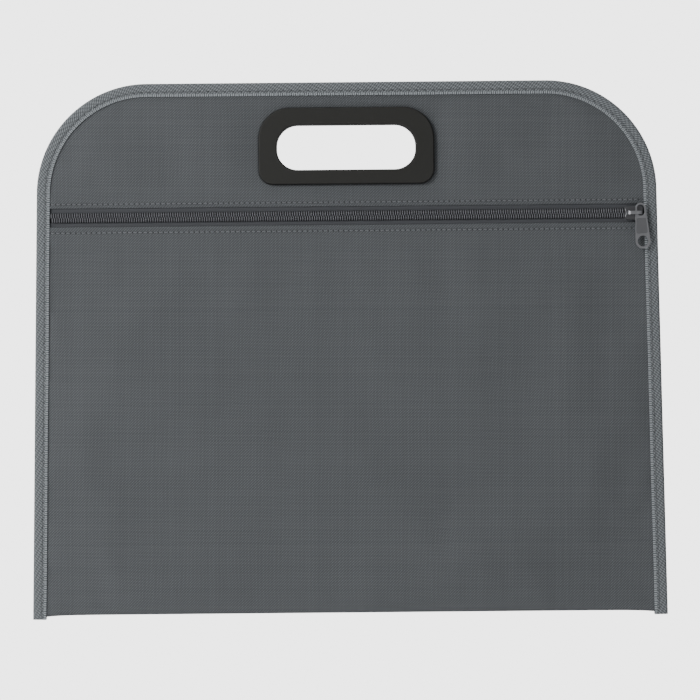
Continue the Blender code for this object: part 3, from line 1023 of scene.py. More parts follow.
@dataclass
class Panels:
    """The folded body cloth and the panel above the zip."""

    outline: Outline
    finish: Material
    cell: float = 3.4 * MM
    cutter_front: float = -10 * MM
    cutter_back: float = 12 * MM
    thickness: float = 0.4 * MM
    seam_inset: float = 2.2 * MM
    held_inset: float = 8.8 * MM
    clamped: float = 8.1 * MM
    step_aside: float = 0.9 * MM
    slider_gap: float = 0.15 * MM
    slider_reach: float = 12 * MM
    hem_turn: float = 9.0 * MM
    hem_flat: float = 2.0 * MM
    hem_inside: float = 0.16 * MM
    hem_lift: float = 0.35 * MM
    hem_step: float = 1.2 * MM
    hem_below_chain: float = 2.67 * MM
    front_bulge: float = 1.6 * MM
    upper_bulge: float = 1.3 * MM
    back_bulge: float = 7.6 * MM
    back_waves: tuple[float, float] = (0.10, 150 * MM)
    front_waves: tuple[float, float] = (0.5, 130 * MM)
    upper_waves: tuple[float, float] = (0.8, 70 * MM)
    trough: float = 6 * MM
    trough_side: float = 14 * MM
    plate_margin: float = 1.5 * MM
    plate_top_margin: float = 1.0 * MM
    side_reach: float = 60 * MM
    fold_reach: float = 25 * MM
    front_flat: float = 14 * MM
    front_reach: float = 120 * MM
    upper_reach: float = 15 * MM
    rise_reach: float = 30 * MM
    grip_reach: float = 22 * MM
    fold_dip: float = 0.9 * MM
    dip_reach: float = 8 * MM
    settings: ClothSettings = field(default_factory=ClothSettings)

    def __post_init__(self) -> None:
        """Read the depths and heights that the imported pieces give."""
        panel_low, panel_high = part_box("front_upper_panel")
        self.layer = -(panel_low.y + panel_high.y) / 2
        self.upper_hem = panel_low.z
        self.fold_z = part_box("body_cloth")[0].z
        self.zip_z, coil = chain_line()
        self.lower_hem = self.zip_z - coil - self.hem_below_chain
        self.hem_radius = (self.hem_inside + self.hem_lift) / 2
        self.handle_low, self.handle_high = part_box("handle_back")
        self.behind_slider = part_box("slider_body")[1].y + self.thickness / 2 + self.slider_gap

    def even_shares(self) -> np.ndarray:
        """Places of a sheet's columns as shares of the half width."""
        return np.linspace(-1, 1, round(2 * self.outline.half_bottom / self.cell) + 1)

    def closer_shares(self) -> np.ndarray:
        """The same places with more of them just inside the side seams.

        Returns:
            The shares, in order.
        """
        half = float(self.outline.half_width(self.zip_z, self.seam_inset))
        close = 1 - (np.array([self.clamped, self.clamped + self.step_aside]) - self.seam_inset) / half
        return np.unique(np.r_[self.even_shares(), close, -close])

    def handle_distance(self, x: np.ndarray, z: np.ndarray) -> np.ndarray:
        """Distance outside the handle's plate.

        Args:
            x: places across.
            z: places up.

        Returns:
            The distance of each place, 0 on the plate.
        """
        beside = np.abs(x) - self.handle_high.x - self.plate_margin
        below = self.handle_low.z - self.plate_margin - z
        above = z - self.handle_high.z - self.plate_top_margin
        return np.hypot(np.maximum(beside, 0), np.maximum(np.maximum(below, above), 0))

    def back_depth(self, x: np.ndarray, z: np.ndarray) -> np.ndarray:
        """Depth of the back cloth before it is relaxed; it keeps clear of the slider's run.

        Args:
            x: places across.
            z: places up.

        Returns:
            The depth at each place.
        """
        inside = self.outline.depth_inside(x, z)
        share = ease(inside - self.held_inset, self.rise_reach) * ease(z - self.fold_z, self.rise_reach)
        share = share * ease(self.handle_distance(x, z), self.grip_reach)
        height, length = self.back_waves
        waves = 1 + height * ripple(x, z, 5, length)
        beside = np.clip((inside - self.clamped) / self.step_aside, 0, 1)
        level = 1 - np.clip((np.abs(z - self.zip_z) - self.trough) / self.trough_side, 0, 1)
        clear = (self.behind_slider - self.layer) * beside * level
        return self.layer + np.maximum(self.back_bulge * share * waves, clear)

    def front_depth(self, x: np.ndarray, z: np.ndarray) -> np.ndarray:
        """Depth of the lower front cloth before it is relaxed.

        Args:
            x: places across.
            z: places up.

        Returns:
            The depth at each place.
        """
        inside = self.outline.depth_inside(x, z) - self.held_inset
        under = self.lower_hem - z
        share = ease(inside, self.side_reach) * ease(z - self.fold_z, self.fold_reach)
        share = share * ease(under - self.front_flat, self.front_reach)
        height, length = self.front_waves
        waves = 1 + height * ripple(x, z, 11, length)
        return -self.layer - self.hem_rise(under) - self.front_bulge * share * waves

    def upper_depth(self, x: np.ndarray, z: np.ndarray) -> np.ndarray:
        """Depth of the upper panel before it is relaxed.

        Args:
            x: places across.
            z: places up.

        Returns:
            The depth at each place.
        """
        inside = self.outline.depth_inside(x, z) - self.held_inset
        above = z - self.upper_hem
        share = ease(inside, self.grip_reach) * ease(self.handle_distance(x, z), self.grip_reach)
        share = share * ease(above - self.hem_turn, self.upper_reach)
        height, length = self.upper_waves
        waves = 1 + height * ripple(x, z, 23, length)
        return -self.layer - self.hem_rise(above) - self.upper_bulge * share * waves

    def hem_rise(self, away: np.ndarray) -> np.ndarray:
        """How far the front stands out over a turned hem, at a distance from its fold."""
        return self.hem_lift * (1 - np.clip((away - self.hem_turn) / self.hem_step, 0, 1))

    def hem_rows(self, hem: float, way: int) -> list[Row]:
        """Rows of a turned hem, from its inner end and round its fold.

        Args:
            hem: height of the fold.
            way: 1 where the cloth hangs below the fold, -1 where it stands above it.

        Returns:
            The rows, as in body_rows.
        """
        inner = -self.layer + self.hem_inside
        middle = inner - self.hem_radius
        heights = np.linspace(hem - way * self.hem_turn, hem - way * self.hem_radius, 4)
        rows = [(z, inner, 0) for z in heights]
        for angle in np.linspace(0, math.pi, 7)[1:-1]:
            height = hem - way * self.hem_radius * (1 - math.sin(angle))
            rows.append((height, middle + self.hem_radius * math.cos(angle), 0))
        return rows

    def body_rows(self) -> list[Row]:
        """Rows of the body cloth from the turned hem to the top.

        Returns:
            Each row's height, its depth where that is fixed, and its part: 0 turned hem, 1 front,
            2 fold, 3 back.
        """
        hem = self.lower_hem
        rows = self.hem_rows(hem, 1)
        fold = self.fold_z + self.thickness / 2 + self.layer
        near = np.linspace(hem - self.hem_radius, hem - self.hem_turn - self.hem_flat, 9)
        count = round((near[-1] - fold) / self.cell)
        rows += [(z, 0.0, 1) for z in near]
        rows += [(z, 0.0, 1) for z in np.linspace(near[-1], fold, count)[1:]]
        for angle in np.linspace(0, math.pi, 8)[1:-1]:
            rows.append((fold - self.layer * math.sin(angle), -self.layer * math.cos(angle), 2))
        count = round((self.outline.corner_z - fold) / self.cell)
        rows += [(z, 0.0, 3) for z in np.linspace(fold, self.outline.corner_z, count)]
        radius = self.outline.corner - self.seam_inset
        steps = round(radius * math.pi / 2 / self.cell)
        for angle in np.linspace(0, math.pi / 2, steps)[1:]:
            rows.append((self.outline.corner_z + radius * math.sin(angle), 0.0, 3))
        return rows

    def upper_rows(self) -> list[Row]:
        """Rows of the upper panel from the turned hem to the top, with part 0 turned hem and 1 panel.

        Returns:
            Each row's height, its depth where that is fixed, and its part.
        """
        hem, corner = self.upper_hem, self.outline.corner_z
        rows = self.hem_rows(hem, -1)
        near = np.linspace(hem + self.hem_radius, hem + self.hem_turn + self.hem_flat, 8)
        rows += [(z, 0.0, 1) for z in near]
        arc = self.outline.corner - self.seam_inset
        first = math.asin((near[-1] - corner) / arc) if near[-1] > corner else 0.0
        steps = round(arc * (math.pi / 2 - first) / self.cell)
        rows += [(corner + arc * math.sin(a), 0.0, 1) for a in np.linspace(first, math.pi / 2, steps)[1:]]
        return rows

    def spread(self, rows: list[Row], shares: np.ndarray) -> tuple[np.ndarray, ...]:
        """Rows and column shares as arrays of rows by columns.

        Args:
            rows: each row's height, fixed depth and part.
            shares: each column's share of the half width.

        Returns:
            The x, z, fixed depth and part of each corner.
        """
        z, fixed, part = (np.array(values)[:, None].repeat(len(shares), 1) for values in zip(*rows))
        return shares[None, :] * self.outline.half_width(z, self.seam_inset), z, fixed, part

    def flat_size(self, z: np.ndarray, along: np.ndarray) -> tuple[tuple[float, float], float]:
        """The width and length of a sheet laid flat, and its area.

        Args:
            z: each row's height.
            along: each row's distance along the cloth.

        Returns:
            The width and length, and the area.
        """
        widths = 2 * self.outline.half_width(z, self.seam_inset)
        area = float(np.sum((widths[1:] + widths[:-1]) / 2 * np.diff(along)))
        return (float(widths.max()), float(along[-1])), area

    def relax(self, item: Item, held: np.ndarray) -> None:
        """Let cloth simulation settle a sheet between its seams.

        Args:
            item: the sheet.
            held: for each corner, 1 where it is sewn or clamped and 0 where it is free.
        """
        settings = self.settings
        mesh = item.data
        before = np.empty(len(mesh.vertices) * 3, np.float32)
        mesh.vertices.foreach_get("co", before)
        group = item.vertex_groups.new(name="held")
        for index in np.flatnonzero(held > 0):
            group.add([int(index)], float(held[index]), "REPLACE")
        activate(item)
        cloth = item.modifiers.new("cloth", "CLOTH")
        cloth.settings.quality = settings.quality
        cloth.settings.mass = settings.mass
        cloth.settings.tension_stiffness = settings.tension
        cloth.settings.compression_stiffness = settings.tension
        cloth.settings.shear_stiffness = settings.shear
        cloth.settings.bending_stiffness = settings.bending
        cloth.settings.vertex_group_mass = group.name
        cloth.settings.shrink_min = -settings.slack
        cloth.settings.use_pressure = True
        cloth.settings.uniform_pressure_force = settings.pressure
        cloth.settings.effector_weights.gravity = 0
        cloth.collision_settings.use_collision = False
        cloth.point_cache.frame_start = 1
        cloth.point_cache.frame_end = settings.frames
        for step in range(1, settings.frames + 1):
            bpy.context.scene.frame_set(step)
        bpy.ops.object.modifier_apply(modifier=cloth.name)
        bpy.context.scene.frame_set(1)
        after = np.empty_like(before)
        mesh.vertices.foreach_get("co", after)
        moved = (after - before).reshape(-1, 3)
        length = np.linalg.norm(moved, axis=1)
        log.info("%s settled by up to %.2f mm", item.name, length.max() / MM)
        cap = np.minimum(1, settings.furthest / np.maximum(length, 1e-9))
        cap[held > 0.99] = 0
        mesh.vertices.foreach_set("co", (before.reshape(-1, 3) + moved * cap[:, None]).reshape(-1))
        item.vertex_groups.clear()
        mesh.update()

    def trim(self, item: Item) -> None:
        """Give a sheet its thickness and cut the handle's opening through it.

        Args:
            item: the sheet.
        """
        modify(item, "SOLIDIFY", thickness=self.thickness, offset=0.0)
        grip = GripFrame()
        grow = grip.collar_wall + grip.fit_gap
        cut(item, grip.slot_prism("cutter", grow, self.cutter_front, self.cutter_back))
        smooth(item, 50)
        dress(item, self.finish)

    def build_body(self) -> Item:
        """Make the folded cloth: lower front, bottom fold and back.

        Returns:
            The cloth.
        """
        x, z, fixed, part = self.spread(self.body_rows(), self.closer_shares())
        y = np.select([part == 1, part == 3], [self.front_depth(x, z), self.back_depth(x, z)], fixed)
        from_seam = np.maximum(self.outline.depth_inside(x, z) - self.dip_reach, 0)
        dip = np.exp(-from_seam / self.dip_reach) * np.exp(-(z - self.fold_z) / self.rise_reach)
        z = z - self.fold_dip * dip
        along = walked(y, z, z.shape[1] // 2)
        uv = np.stack([x, -along[:, None] + 0 * x], -1)
        item = sheet_from_grid("body_cloth_folded", np.stack([x, y, z], -1), uv)
        inside = self.outline.depth_inside(x, z)
        held = (inside < self.held_inset) | (part == 0) | (part == 2)
        held |= (part == 1) & (z > self.lower_hem - self.hem_turn - self.hem_flat - 1 * MM)
        held |= (part == 3) & (self.handle_distance(x, z) <= 0)
        near_zip = np.abs(z - self.zip_z) < self.slider_reach
        held |= (part == 3) & (inside < self.slider_reach) & near_zip
        self.relax(item, held.reshape(-1).astype(float))
        flat, area = self.flat_size(z[:, 0], along)
        self.trim(item)
        install(item, Body.BAG, Slot.CLOTH, "body_cloth")
        return item

    def build_upper(self) -> Item:
        """Make the panel between the zip and the top edge, with its turned hem.

        Returns:
            The panel.
        """
        x, z, fixed, part = self.spread(self.upper_rows(), self.even_shares())
        y = np.where(part == 1, self.upper_depth(x, z), fixed)
        along = walked(y, z, z.shape[1] // 4)
        uv = np.stack([x, along[:, None] + 0 * x], -1)
        item = sheet_from_grid("upper_panel", np.stack([x, y, z], -1), uv)
        held = (self.outline.depth_inside(x, z) < self.held_inset) | (part == 0)
        held |= z < self.upper_hem + self.hem_turn + self.hem_flat
        held |= self.handle_distance(x, z) <= 0
        self.relax(item, held.reshape(-1).astype(float))
        pick(item, lambda _: True, "FACE")
        bpy.ops.mesh.normals_make_consistent(inside=False)
        leave_edit()
        flat, area = self.flat_size(z[:, 0], along)
        self.trim(item)
        install(item, Body.BAG, Slot.CLOTH, "front_upper_panel")
        return item


# Binding and stitching


@dataclass
class EdgeBinding:
    """The twill tape folded round the sides and the top, and its seam."""

    outline: Outline
    station: float = 0.65 * MM
    leg: float = 8.0 * MM
    thickness: float = 0.5 * MM
    rib_repeat: float = 2.6 * MM
    rib_relief: float = 0.10 * MM
    edge_width: float = 1.6 * MM
    edge_relief: float = 0.14 * MM
    seam_inset: float = 5.2 * MM
    stitch_pitch: float = 5.0 * MM
    thread_radius: float = 0.24 * MM
    stitch_share: float = 0.84
    seam_dent: float = 0.10 * MM
    seam_reach: float = 0.5 * MM
    hole_dent: float = 0.25 * MM
    hole_reach: float = 0.6 * MM
    waver: float = 0.12 * MM
    waver_lengths: tuple[float, float] = (31 * MM, 47 * MM)
    face_inset: float = 0.05 * MM
    thread_sink: float = 0.02 * MM

    def __post_init__(self) -> None:
        """Read how deep the folded tape stands."""
        _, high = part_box("edge_binding")
        self.face = high.y - self.face_inset

    def section(self) -> tuple[np.ndarray, np.ndarray]:
        """The tape's outer face in cross-section, from one inner edge round the fold to the other.

        Returns:
            Each point's (inset, depth, outward share, depth share), and its distance across the tape.
        """
        legs = np.linspace(self.leg, self.face, 12)
        angles = np.linspace(0, math.pi, 9)
        points = [(inset, -self.face, 0.0, -1.0) for inset in legs[:-1]]
        points += [
            (self.face - self.face * math.sin(a), -self.face * math.cos(a), math.sin(a), -math.cos(a))
            for a in angles
        ]
        points += [(inset, self.face, 0.0, 1.0) for inset in legs[::-1][1:]]
        profile = np.array(points)
        steps = np.hypot(*np.diff(profile[:, :2], axis=0).T)
        return profile, np.r_[0, np.cumsum(steps)]

    def relief(self, along: np.ndarray, across: np.ndarray, width: float) -> np.ndarray:
        """Height of the ribs, the edge cords and the dents that the stitches pull.

        Args:
            along: distance along the tape.
            across: distance across it.
            width: the tape's whole width.

        Returns:
            The height at each place.
        """
        phase = TURN * (along - across) / self.rib_repeat
        ribs = self.rib_relief * np.abs(np.sin(phase / 2))
        from_edge = np.minimum(across, width - across)
        cord = np.clip(1 - ((from_edge - self.edge_width / 2) / (self.edge_width / 2)) ** 2, 0, 1)
        beads = 0.55 + 0.45 * np.sin(4 * math.pi * along / self.rib_repeat)
        in_edge = from_edge < self.edge_width
        height = np.where(in_edge, self.edge_relief * cord * beads, ribs)
        seam = np.abs(from_edge - (self.leg - self.seam_inset))
        beat = np.abs((along + self.stitch_pitch / 2) % self.stitch_pitch - self.stitch_pitch / 2)
        height -= self.seam_dent * np.exp(-((seam / self.seam_reach) ** 2))
        return height - self.hole_dent * np.exp(-((np.hypot(seam, beat) / self.hole_reach) ** 2))

    def build_tape(self) -> Item:
        """Make the folded tape as a closed strip.

        Returns:
            The tape.
        """
        stations, places, outward = self.outline.trace(self.station)
        profile, across = self.section()
        inner = profile[::-3].copy()
        inner[:, 0] += self.thickness * inner[:, 2]
        inner[:, 1] -= self.thickness * inner[:, 3]
        loop = np.concatenate([profile, inner, profile[:1]])
        face_count = len(profile)
        spread = np.r_[across, across[::-3], across[:1]]
        along = stations[:, None]
        lift = np.zeros((len(stations), len(loop)))
        lift[:, :face_count] = self.relief(along, across[None, :], across[-1])
        lift[:, -1] = lift[:, 0]
        first, second = self.waver_lengths
        wander = self.waver * np.sin(along / first) * np.sin(along / second + 1)
        inset = loop[None, :, 0] + wander * (loop[None, :, 0] > self.leg * 0.6)
        out = -inset + lift * loop[None, :, 2]
        x = places[:, 0, None] + outward[:, 0, None] * out
        z = places[:, 1, None] + outward[:, 1, None] * out
        y = loop[None, :, 1] + lift * loop[None, :, 3]
        grid = np.stack([x, y + 0 * x, z], -1)
        uv = np.stack([along + 0 * x, spread[None, :] + 0 * x], -1)
        item = sheet_from_grid("binding_tape", grid, uv)
        pick(item, lambda _: True, "VERT")
        bpy.ops.mesh.remove_doubles(threshold=TOUCH)
        bpy.ops.mesh.select_all(action="SELECT")
        bpy.ops.mesh.fill_holes(sides=0)
        bpy.ops.mesh.normals_make_consistent(inside=False)
        leave_edit()
        smooth(item, 60)
        dress(item, Twill(BINDING_COLOUR, across[-1]).build("binding_twill"))
        return install(item, Body.BAG, Slot.BINDING, "edge_binding")

    def build_seam(self, front: bool, material: Material) -> Item:
        """Stitches of one thread of the seam.

        Args:
            front: True for the needle thread, False for the bobbin thread.
            material: the thread's finish.

        Returns:
            The stitches.
        """
        name = "binding_stitches_front" if front else "binding_stitches_back"
        node = "binding_needle_thread" if front else "binding_bobbin_thread"
        stations, places, outward = self.outline.trace(self.stitch_pitch / 4)
        spots = []
        side = -1 if front else 1
        for k in range(2, len(stations) - 2, 4):
            point = places[k] - outward[k] * self.seam_inset
            heading = Vector((outward[k][1], 0, -outward[k][0]))
            out = Vector((0, side, 0))
            rotation = Matrix((heading, heading.cross(out), out)).transposed().to_4x4()
            depth = side * (self.face - self.thread_sink)
            spots.append(Matrix.Translation((point[0], depth, point[1])) @ rotation)
        stitch = stitch_template(self.stitch_pitch * self.stitch_share, self.thread_radius)
        item = stamp(name, stitch, spots)
        dress(item, material)
        return install(item, Body.BAG, Slot.THREAD, node)


def stitch_template(length: float, radius: float) -> Item:
    """One stitch lying along X: a short thread that dives into the cloth at each end.

    Args:
        length: hole to hole.
        radius: the thread's radius.

    Returns:
        The stitch, at the origin.
    """
    t = np.linspace(-1, 1, 7)
    rise = 0.7 * radius * (1 - t**2) - 1.6 * radius * t**6
    return tube("stitch", np.c_[t * length / 2, 0 * t, rise], radius)


@dataclass
class ZipSeam:
    """The stitch row that holds one tape to its panel."""

    side: Side
    z: float
    depth: float
    pitch: float
    thread_radius: float = 0.23 * MM
    stitch_share: float = 0.78

    def build(self, front: bool, material: Material) -> Item:
        """Make the row of stitches.

        Args:
            front: True for the needle thread, False for the bobbin thread.
            material: the thread's finish.

        Returns:
            The stitches.
        """
        which = self.side.name.lower()
        kind = "needle" if front else "bobbin"
        low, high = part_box(f"zip_{kind}_thread_{which}")
        count = int((high.x - low.x) / self.pitch)
        facing = -1 if front else 1
        turn = Matrix.Rotation(-facing * math.pi / 2, 4, "X")
        depth = self.depth if front else high.y
        spots = []
        for k in range(count):
            x = low.x + self.pitch * (k + 0.5)
            spots.append(Matrix.Translation((x, depth, self.z)) @ turn)
        stitch = stitch_template(self.pitch * self.stitch_share, self.thread_radius)
        item = stamp(f"zip_stitches_{kind}_{which}", stitch, spots)
        dress(item, material)
        return install(item, Body.BAG, Slot.THREAD, f"zip_{kind}_thread_{which}")


# Zip


@dataclass
class CoilChain:
    """The two nylon coils, locked into each other, and the tapes they are sewn to."""

    outline: Outline
    pitch: float = 1.40 * MM
    wire: float = 0.34 * MM
    steps: int = 12
    overlap: float = 0.35 * MM
    squareness: float = 0.7
    tape_gap: float = 0.12 * MM
    tape_thickness: float = 0.36 * MM
    tape_inset: float = 2.4 * MM
    tape_columns: int = 180
    tape_rise: float = 0.12 * MM
    tape_rise_reach: float = 3.2 * MM

    def build_coil(self, side: Side, material: Material) -> Item:
        """Make one coil as a flattened helix.

        Args:
            side: above or below the chain's centre.
            material: the nylon.

        Returns:
            The coil.
        """
        node = f"zip_coil_{side.name.lower()}"
        low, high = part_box(node)
        centre, reach = chain_line()
        outer = reach - self.wire
        inner = -self.overlap + self.wire
        turns = int((high.x - low.x) / self.pitch) - 1
        t = np.linspace(0, turns, turns * self.steps + 1)
        start = low.x + self.pitch * (0.5 if side is Side.UPPER else 1.0)
        angle = TURN * t
        swing = np.cos(angle)
        swing = np.sign(swing) * np.abs(swing) ** self.squareness
        z = centre + side.value * ((outer + inner) / 2 + (outer - inner) / 2 * swing)
        depth_middle = (low.y + high.y) / 2
        depth_reach = (high.y - low.y) / 2 - self.wire
        y = depth_middle - depth_reach * np.sin(angle)
        back_share = np.clip((t % 1.0) * 2.2 - 1.2, 0, 1)
        x = start + self.pitch * (np.floor(t) + back_share)
        item = tube(f"coil_{side.name.lower()}", np.c_[x, y, z], self.wire)
        dress(item, material)
        return install(item, Body.BAG, Slot.COIL, node)

    def build_tape(self, side: Side, material: Material) -> Item:
        """Make one tape, slightly raised where the coil is sewn on.

        Args:
            side: above or below the chain's centre.
            material: the weave.

        Returns:
            The tape.
        """
        node = f"zip_tape_{side.name.lower()}"
        low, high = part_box(node)
        centre, _ = chain_line()
        edge = high.z if side is Side.UPPER else low.z
        near = centre + side.value * self.tape_gap
        z = np.linspace(near, edge, 15)[:, None].repeat(self.tape_columns, 1)
        x = np.linspace(-1, 1, self.tape_columns)[None, :] * self.outline.half_width(z, self.tape_inset)
        away = np.abs(z - centre)
        y = -self.tape_rise * np.exp(-((away / self.tape_rise_reach) ** 2)) + 0 * x
        item = sheet_from_grid(f"tape_{side.name.lower()}", np.stack([x, y, z], -1), np.stack([x, z], -1))
        modify(item, "SOLIDIFY", thickness=self.tape_thickness, offset=0.0)
        outward_normals(item)
        smooth(item, 50)
        dress(item, material)
        return install(item, Body.BAG, Slot.ZIP_TAPE, node)


# Slider and tab


def softened_copy(node: str, name: str, width: float, segments: int) -> Item:
    """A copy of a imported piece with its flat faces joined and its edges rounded.

    Args:
        node: the CAD node.
        name: the copy's name.
        width: the rounding.
        segments: the rounding's steps.

    Returns:
        The copy.
    """
    source = frame["nodes"][node]
    item = bpy.data.objects.new(name, source.data.copy())
    bpy.context.scene.collection.objects.link(item)
    outward_normals(item)
    pick(item, lambda _: True, "FACE")
    bpy.ops.mesh.dissolve_limited(angle_limit=math.radians(1))
    leave_edit()
    modify(item, "BEVEL", width=width, segments=segments, limit_method="ANGLE", angle_limit=math.radians(30))
    crisp(item, 45)
    return item


@dataclass
class SliderLip:
    """The raised, hollowed-in lip of the slider's end where the closed chain leaves it."""

    inset: float = 0.28 * MM
    hollow: float = 0.75 * MM
    depth: float = 3.62 * MM
    dive: float = 0.5 * MM
    half_height: float = 2.95 * MM
    wire: float = 0.24 * MM

    def build(self, material: Material) -> Item:
        """Make the lip.

        Args:
            material: the metal.

        Returns:
            The lip.
        """
        low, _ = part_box("slider_body")
        middle, _ = chain_line()
        t = np.linspace(-1, 1, 13)
        x = low.x + self.inset + self.hollow * np.cos(t * math.pi / 2) ** 2
        y = -self.depth + self.dive * t**8
        lip = tube("slider_lip", np.c_[x, y, middle + self.half_height * t], self.wire, 2)
        dress(lip, material)
        return install(lip, Body.SLIDER, Slot.METAL)


@dataclass
class PullTab:
    """The tapered tab with a raised rim, an eye and an end hole."""

    lean: float = math.radians(4)
    offset: float = 0.6 * MM
    top: float = 5.9 * MM
    length: float = 27.4 * MM
    recess_gaps: tuple[float, float] = (0.1 * MM, 0.3 * MM)
    top_radius: float = 3.1 * MM
    end_radius: float = 4.5 * MM
    eye_width: float = 4.2 * MM
    eye_height: float = 6.7 * MM
    eye_rim: float = 1.0 * MM
    hole_rim: float = 1.25 * MM
    rim: float = 0.7 * MM
    recess: float = 0.28 * MM
    recess_corner: float = 1.1 * MM
    edge_round: float = 0.10 * MM

    def drill(self, item: Item, centre: Vector, radius: float, stretch: float) -> None:
        """Cut a round or upright oval hole through the tab.

        Args:
            item: the tab.
            centre: the hole's centre, or its lower end's.
            radius: the hole's radius.
            stretch: how far its upper end stands above the lower.
        """
        cylinder = bpy.ops.mesh.primitive_cylinder_add
        cutter = primitive(
            cylinder, vertices=40, radius=radius, depth=6 * MM, location=centre, rotation=UPRIGHT
        )
        for vert in cutter.data.vertices:
            if vert.co.z > centre.z + TOUCH:
                vert.co.z += stretch
        cut(item, cutter)

    def sink(self, item: Item, end: Vector, rise: float, face: float) -> None:
        """Press the flat panel between the eye and the end hole into one face.

        Args:
            item: the tab.
            end: centre of the rounded end.
            rise: distance from there to the top's centre.
            face: the depth of the face.
        """
        low = self.end_radius + self.recess_gaps[0]
        eye = 2 * self.eye_rim + self.eye_height
        high = self.length - self.end_radius - eye - self.recess_gaps[1]
        cutter = primitive(bpy.ops.mesh.primitive_cube_add, size=1)
        for vert in cutter.data.vertices:
            up = high if vert.co.z > 0 else low
            half = self.end_radius + (self.top_radius - self.end_radius) * up / rise - self.rim
            vert.co = (
                end.x + math.copysign(half, vert.co.x),
                face + math.copysign(self.recess, vert.co.y),
                end.z + up,
            )
        pick(cutter, lambda _: True, "EDGE")
        bpy.ops.mesh.select_all(action="DESELECT")
        leave_edit()
        for edge in cutter.data.edges:
            first, second = (cutter.data.vertices[v].co for v in edge.vertices)
            edge.select = abs(first.y - second.y) > self.recess
        bpy.ops.object.mode_set(mode="EDIT")
        bpy.ops.mesh.bevel(offset=self.recess_corner, segments=5, affect="EDGES")
        leave_edit()
        cut(item, cutter)

    def build(self, material: Material) -> Item:
        """Make the tab.

        Args:
            material: the metal.

        Returns:
            The tab.
        """
        joint = next(j for j in frame["joints"] if j["child"] == Body.TAB.value)
        pivot = Vector(joint["pos_m"])
        low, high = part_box("pull_tab")
        thickness = high.y - low.y
        middle = (low.y + high.y) / 2
        end = Vector((-self.offset, middle, self.top - self.length + self.end_radius))
        rise = self.length - self.end_radius - self.top_radius
        cylinder = bpy.ops.mesh.primitive_cylinder_add
        item = primitive(
            cylinder, vertices=64, radius=self.end_radius, depth=thickness, location=end, rotation=UPRIGHT
        )
        item.name = "pull_tab_cast"
        share = self.top_radius / self.end_radius
        for vert in item.data.vertices:
            if vert.co.z > end.z + TOUCH:
                vert.co.z = end.z + rise + (vert.co.z - end.z) * share
                vert.co.x = end.x + (vert.co.x - end.x) * share
        for face in (low.y, high.y):
            self.sink(item, end, rise, face)
        eye_low = self.top - self.eye_rim - self.eye_height + self.eye_width / 2
        eye = Vector((-self.offset, middle, eye_low))
        self.drill(item, eye, self.eye_width / 2, self.eye_height - self.eye_width)
        self.drill(item, end, self.end_radius - self.hole_rim, 0.0)
        turn = Matrix.Translation((pivot.x, 0, pivot.z)) @ Matrix.Rotation(-self.lean, 4, "Y")
        item.data.transform(turn)
        corners = math.radians(35)
        modify(item, "BEVEL", width=self.edge_round, segments=2, limit_method="ANGLE", angle_limit=corners)
        crisp(item, 40)
        dress(item, material)
        return install(item, Body.TAB, Slot.METAL, "pull_tab")


# Grip frame


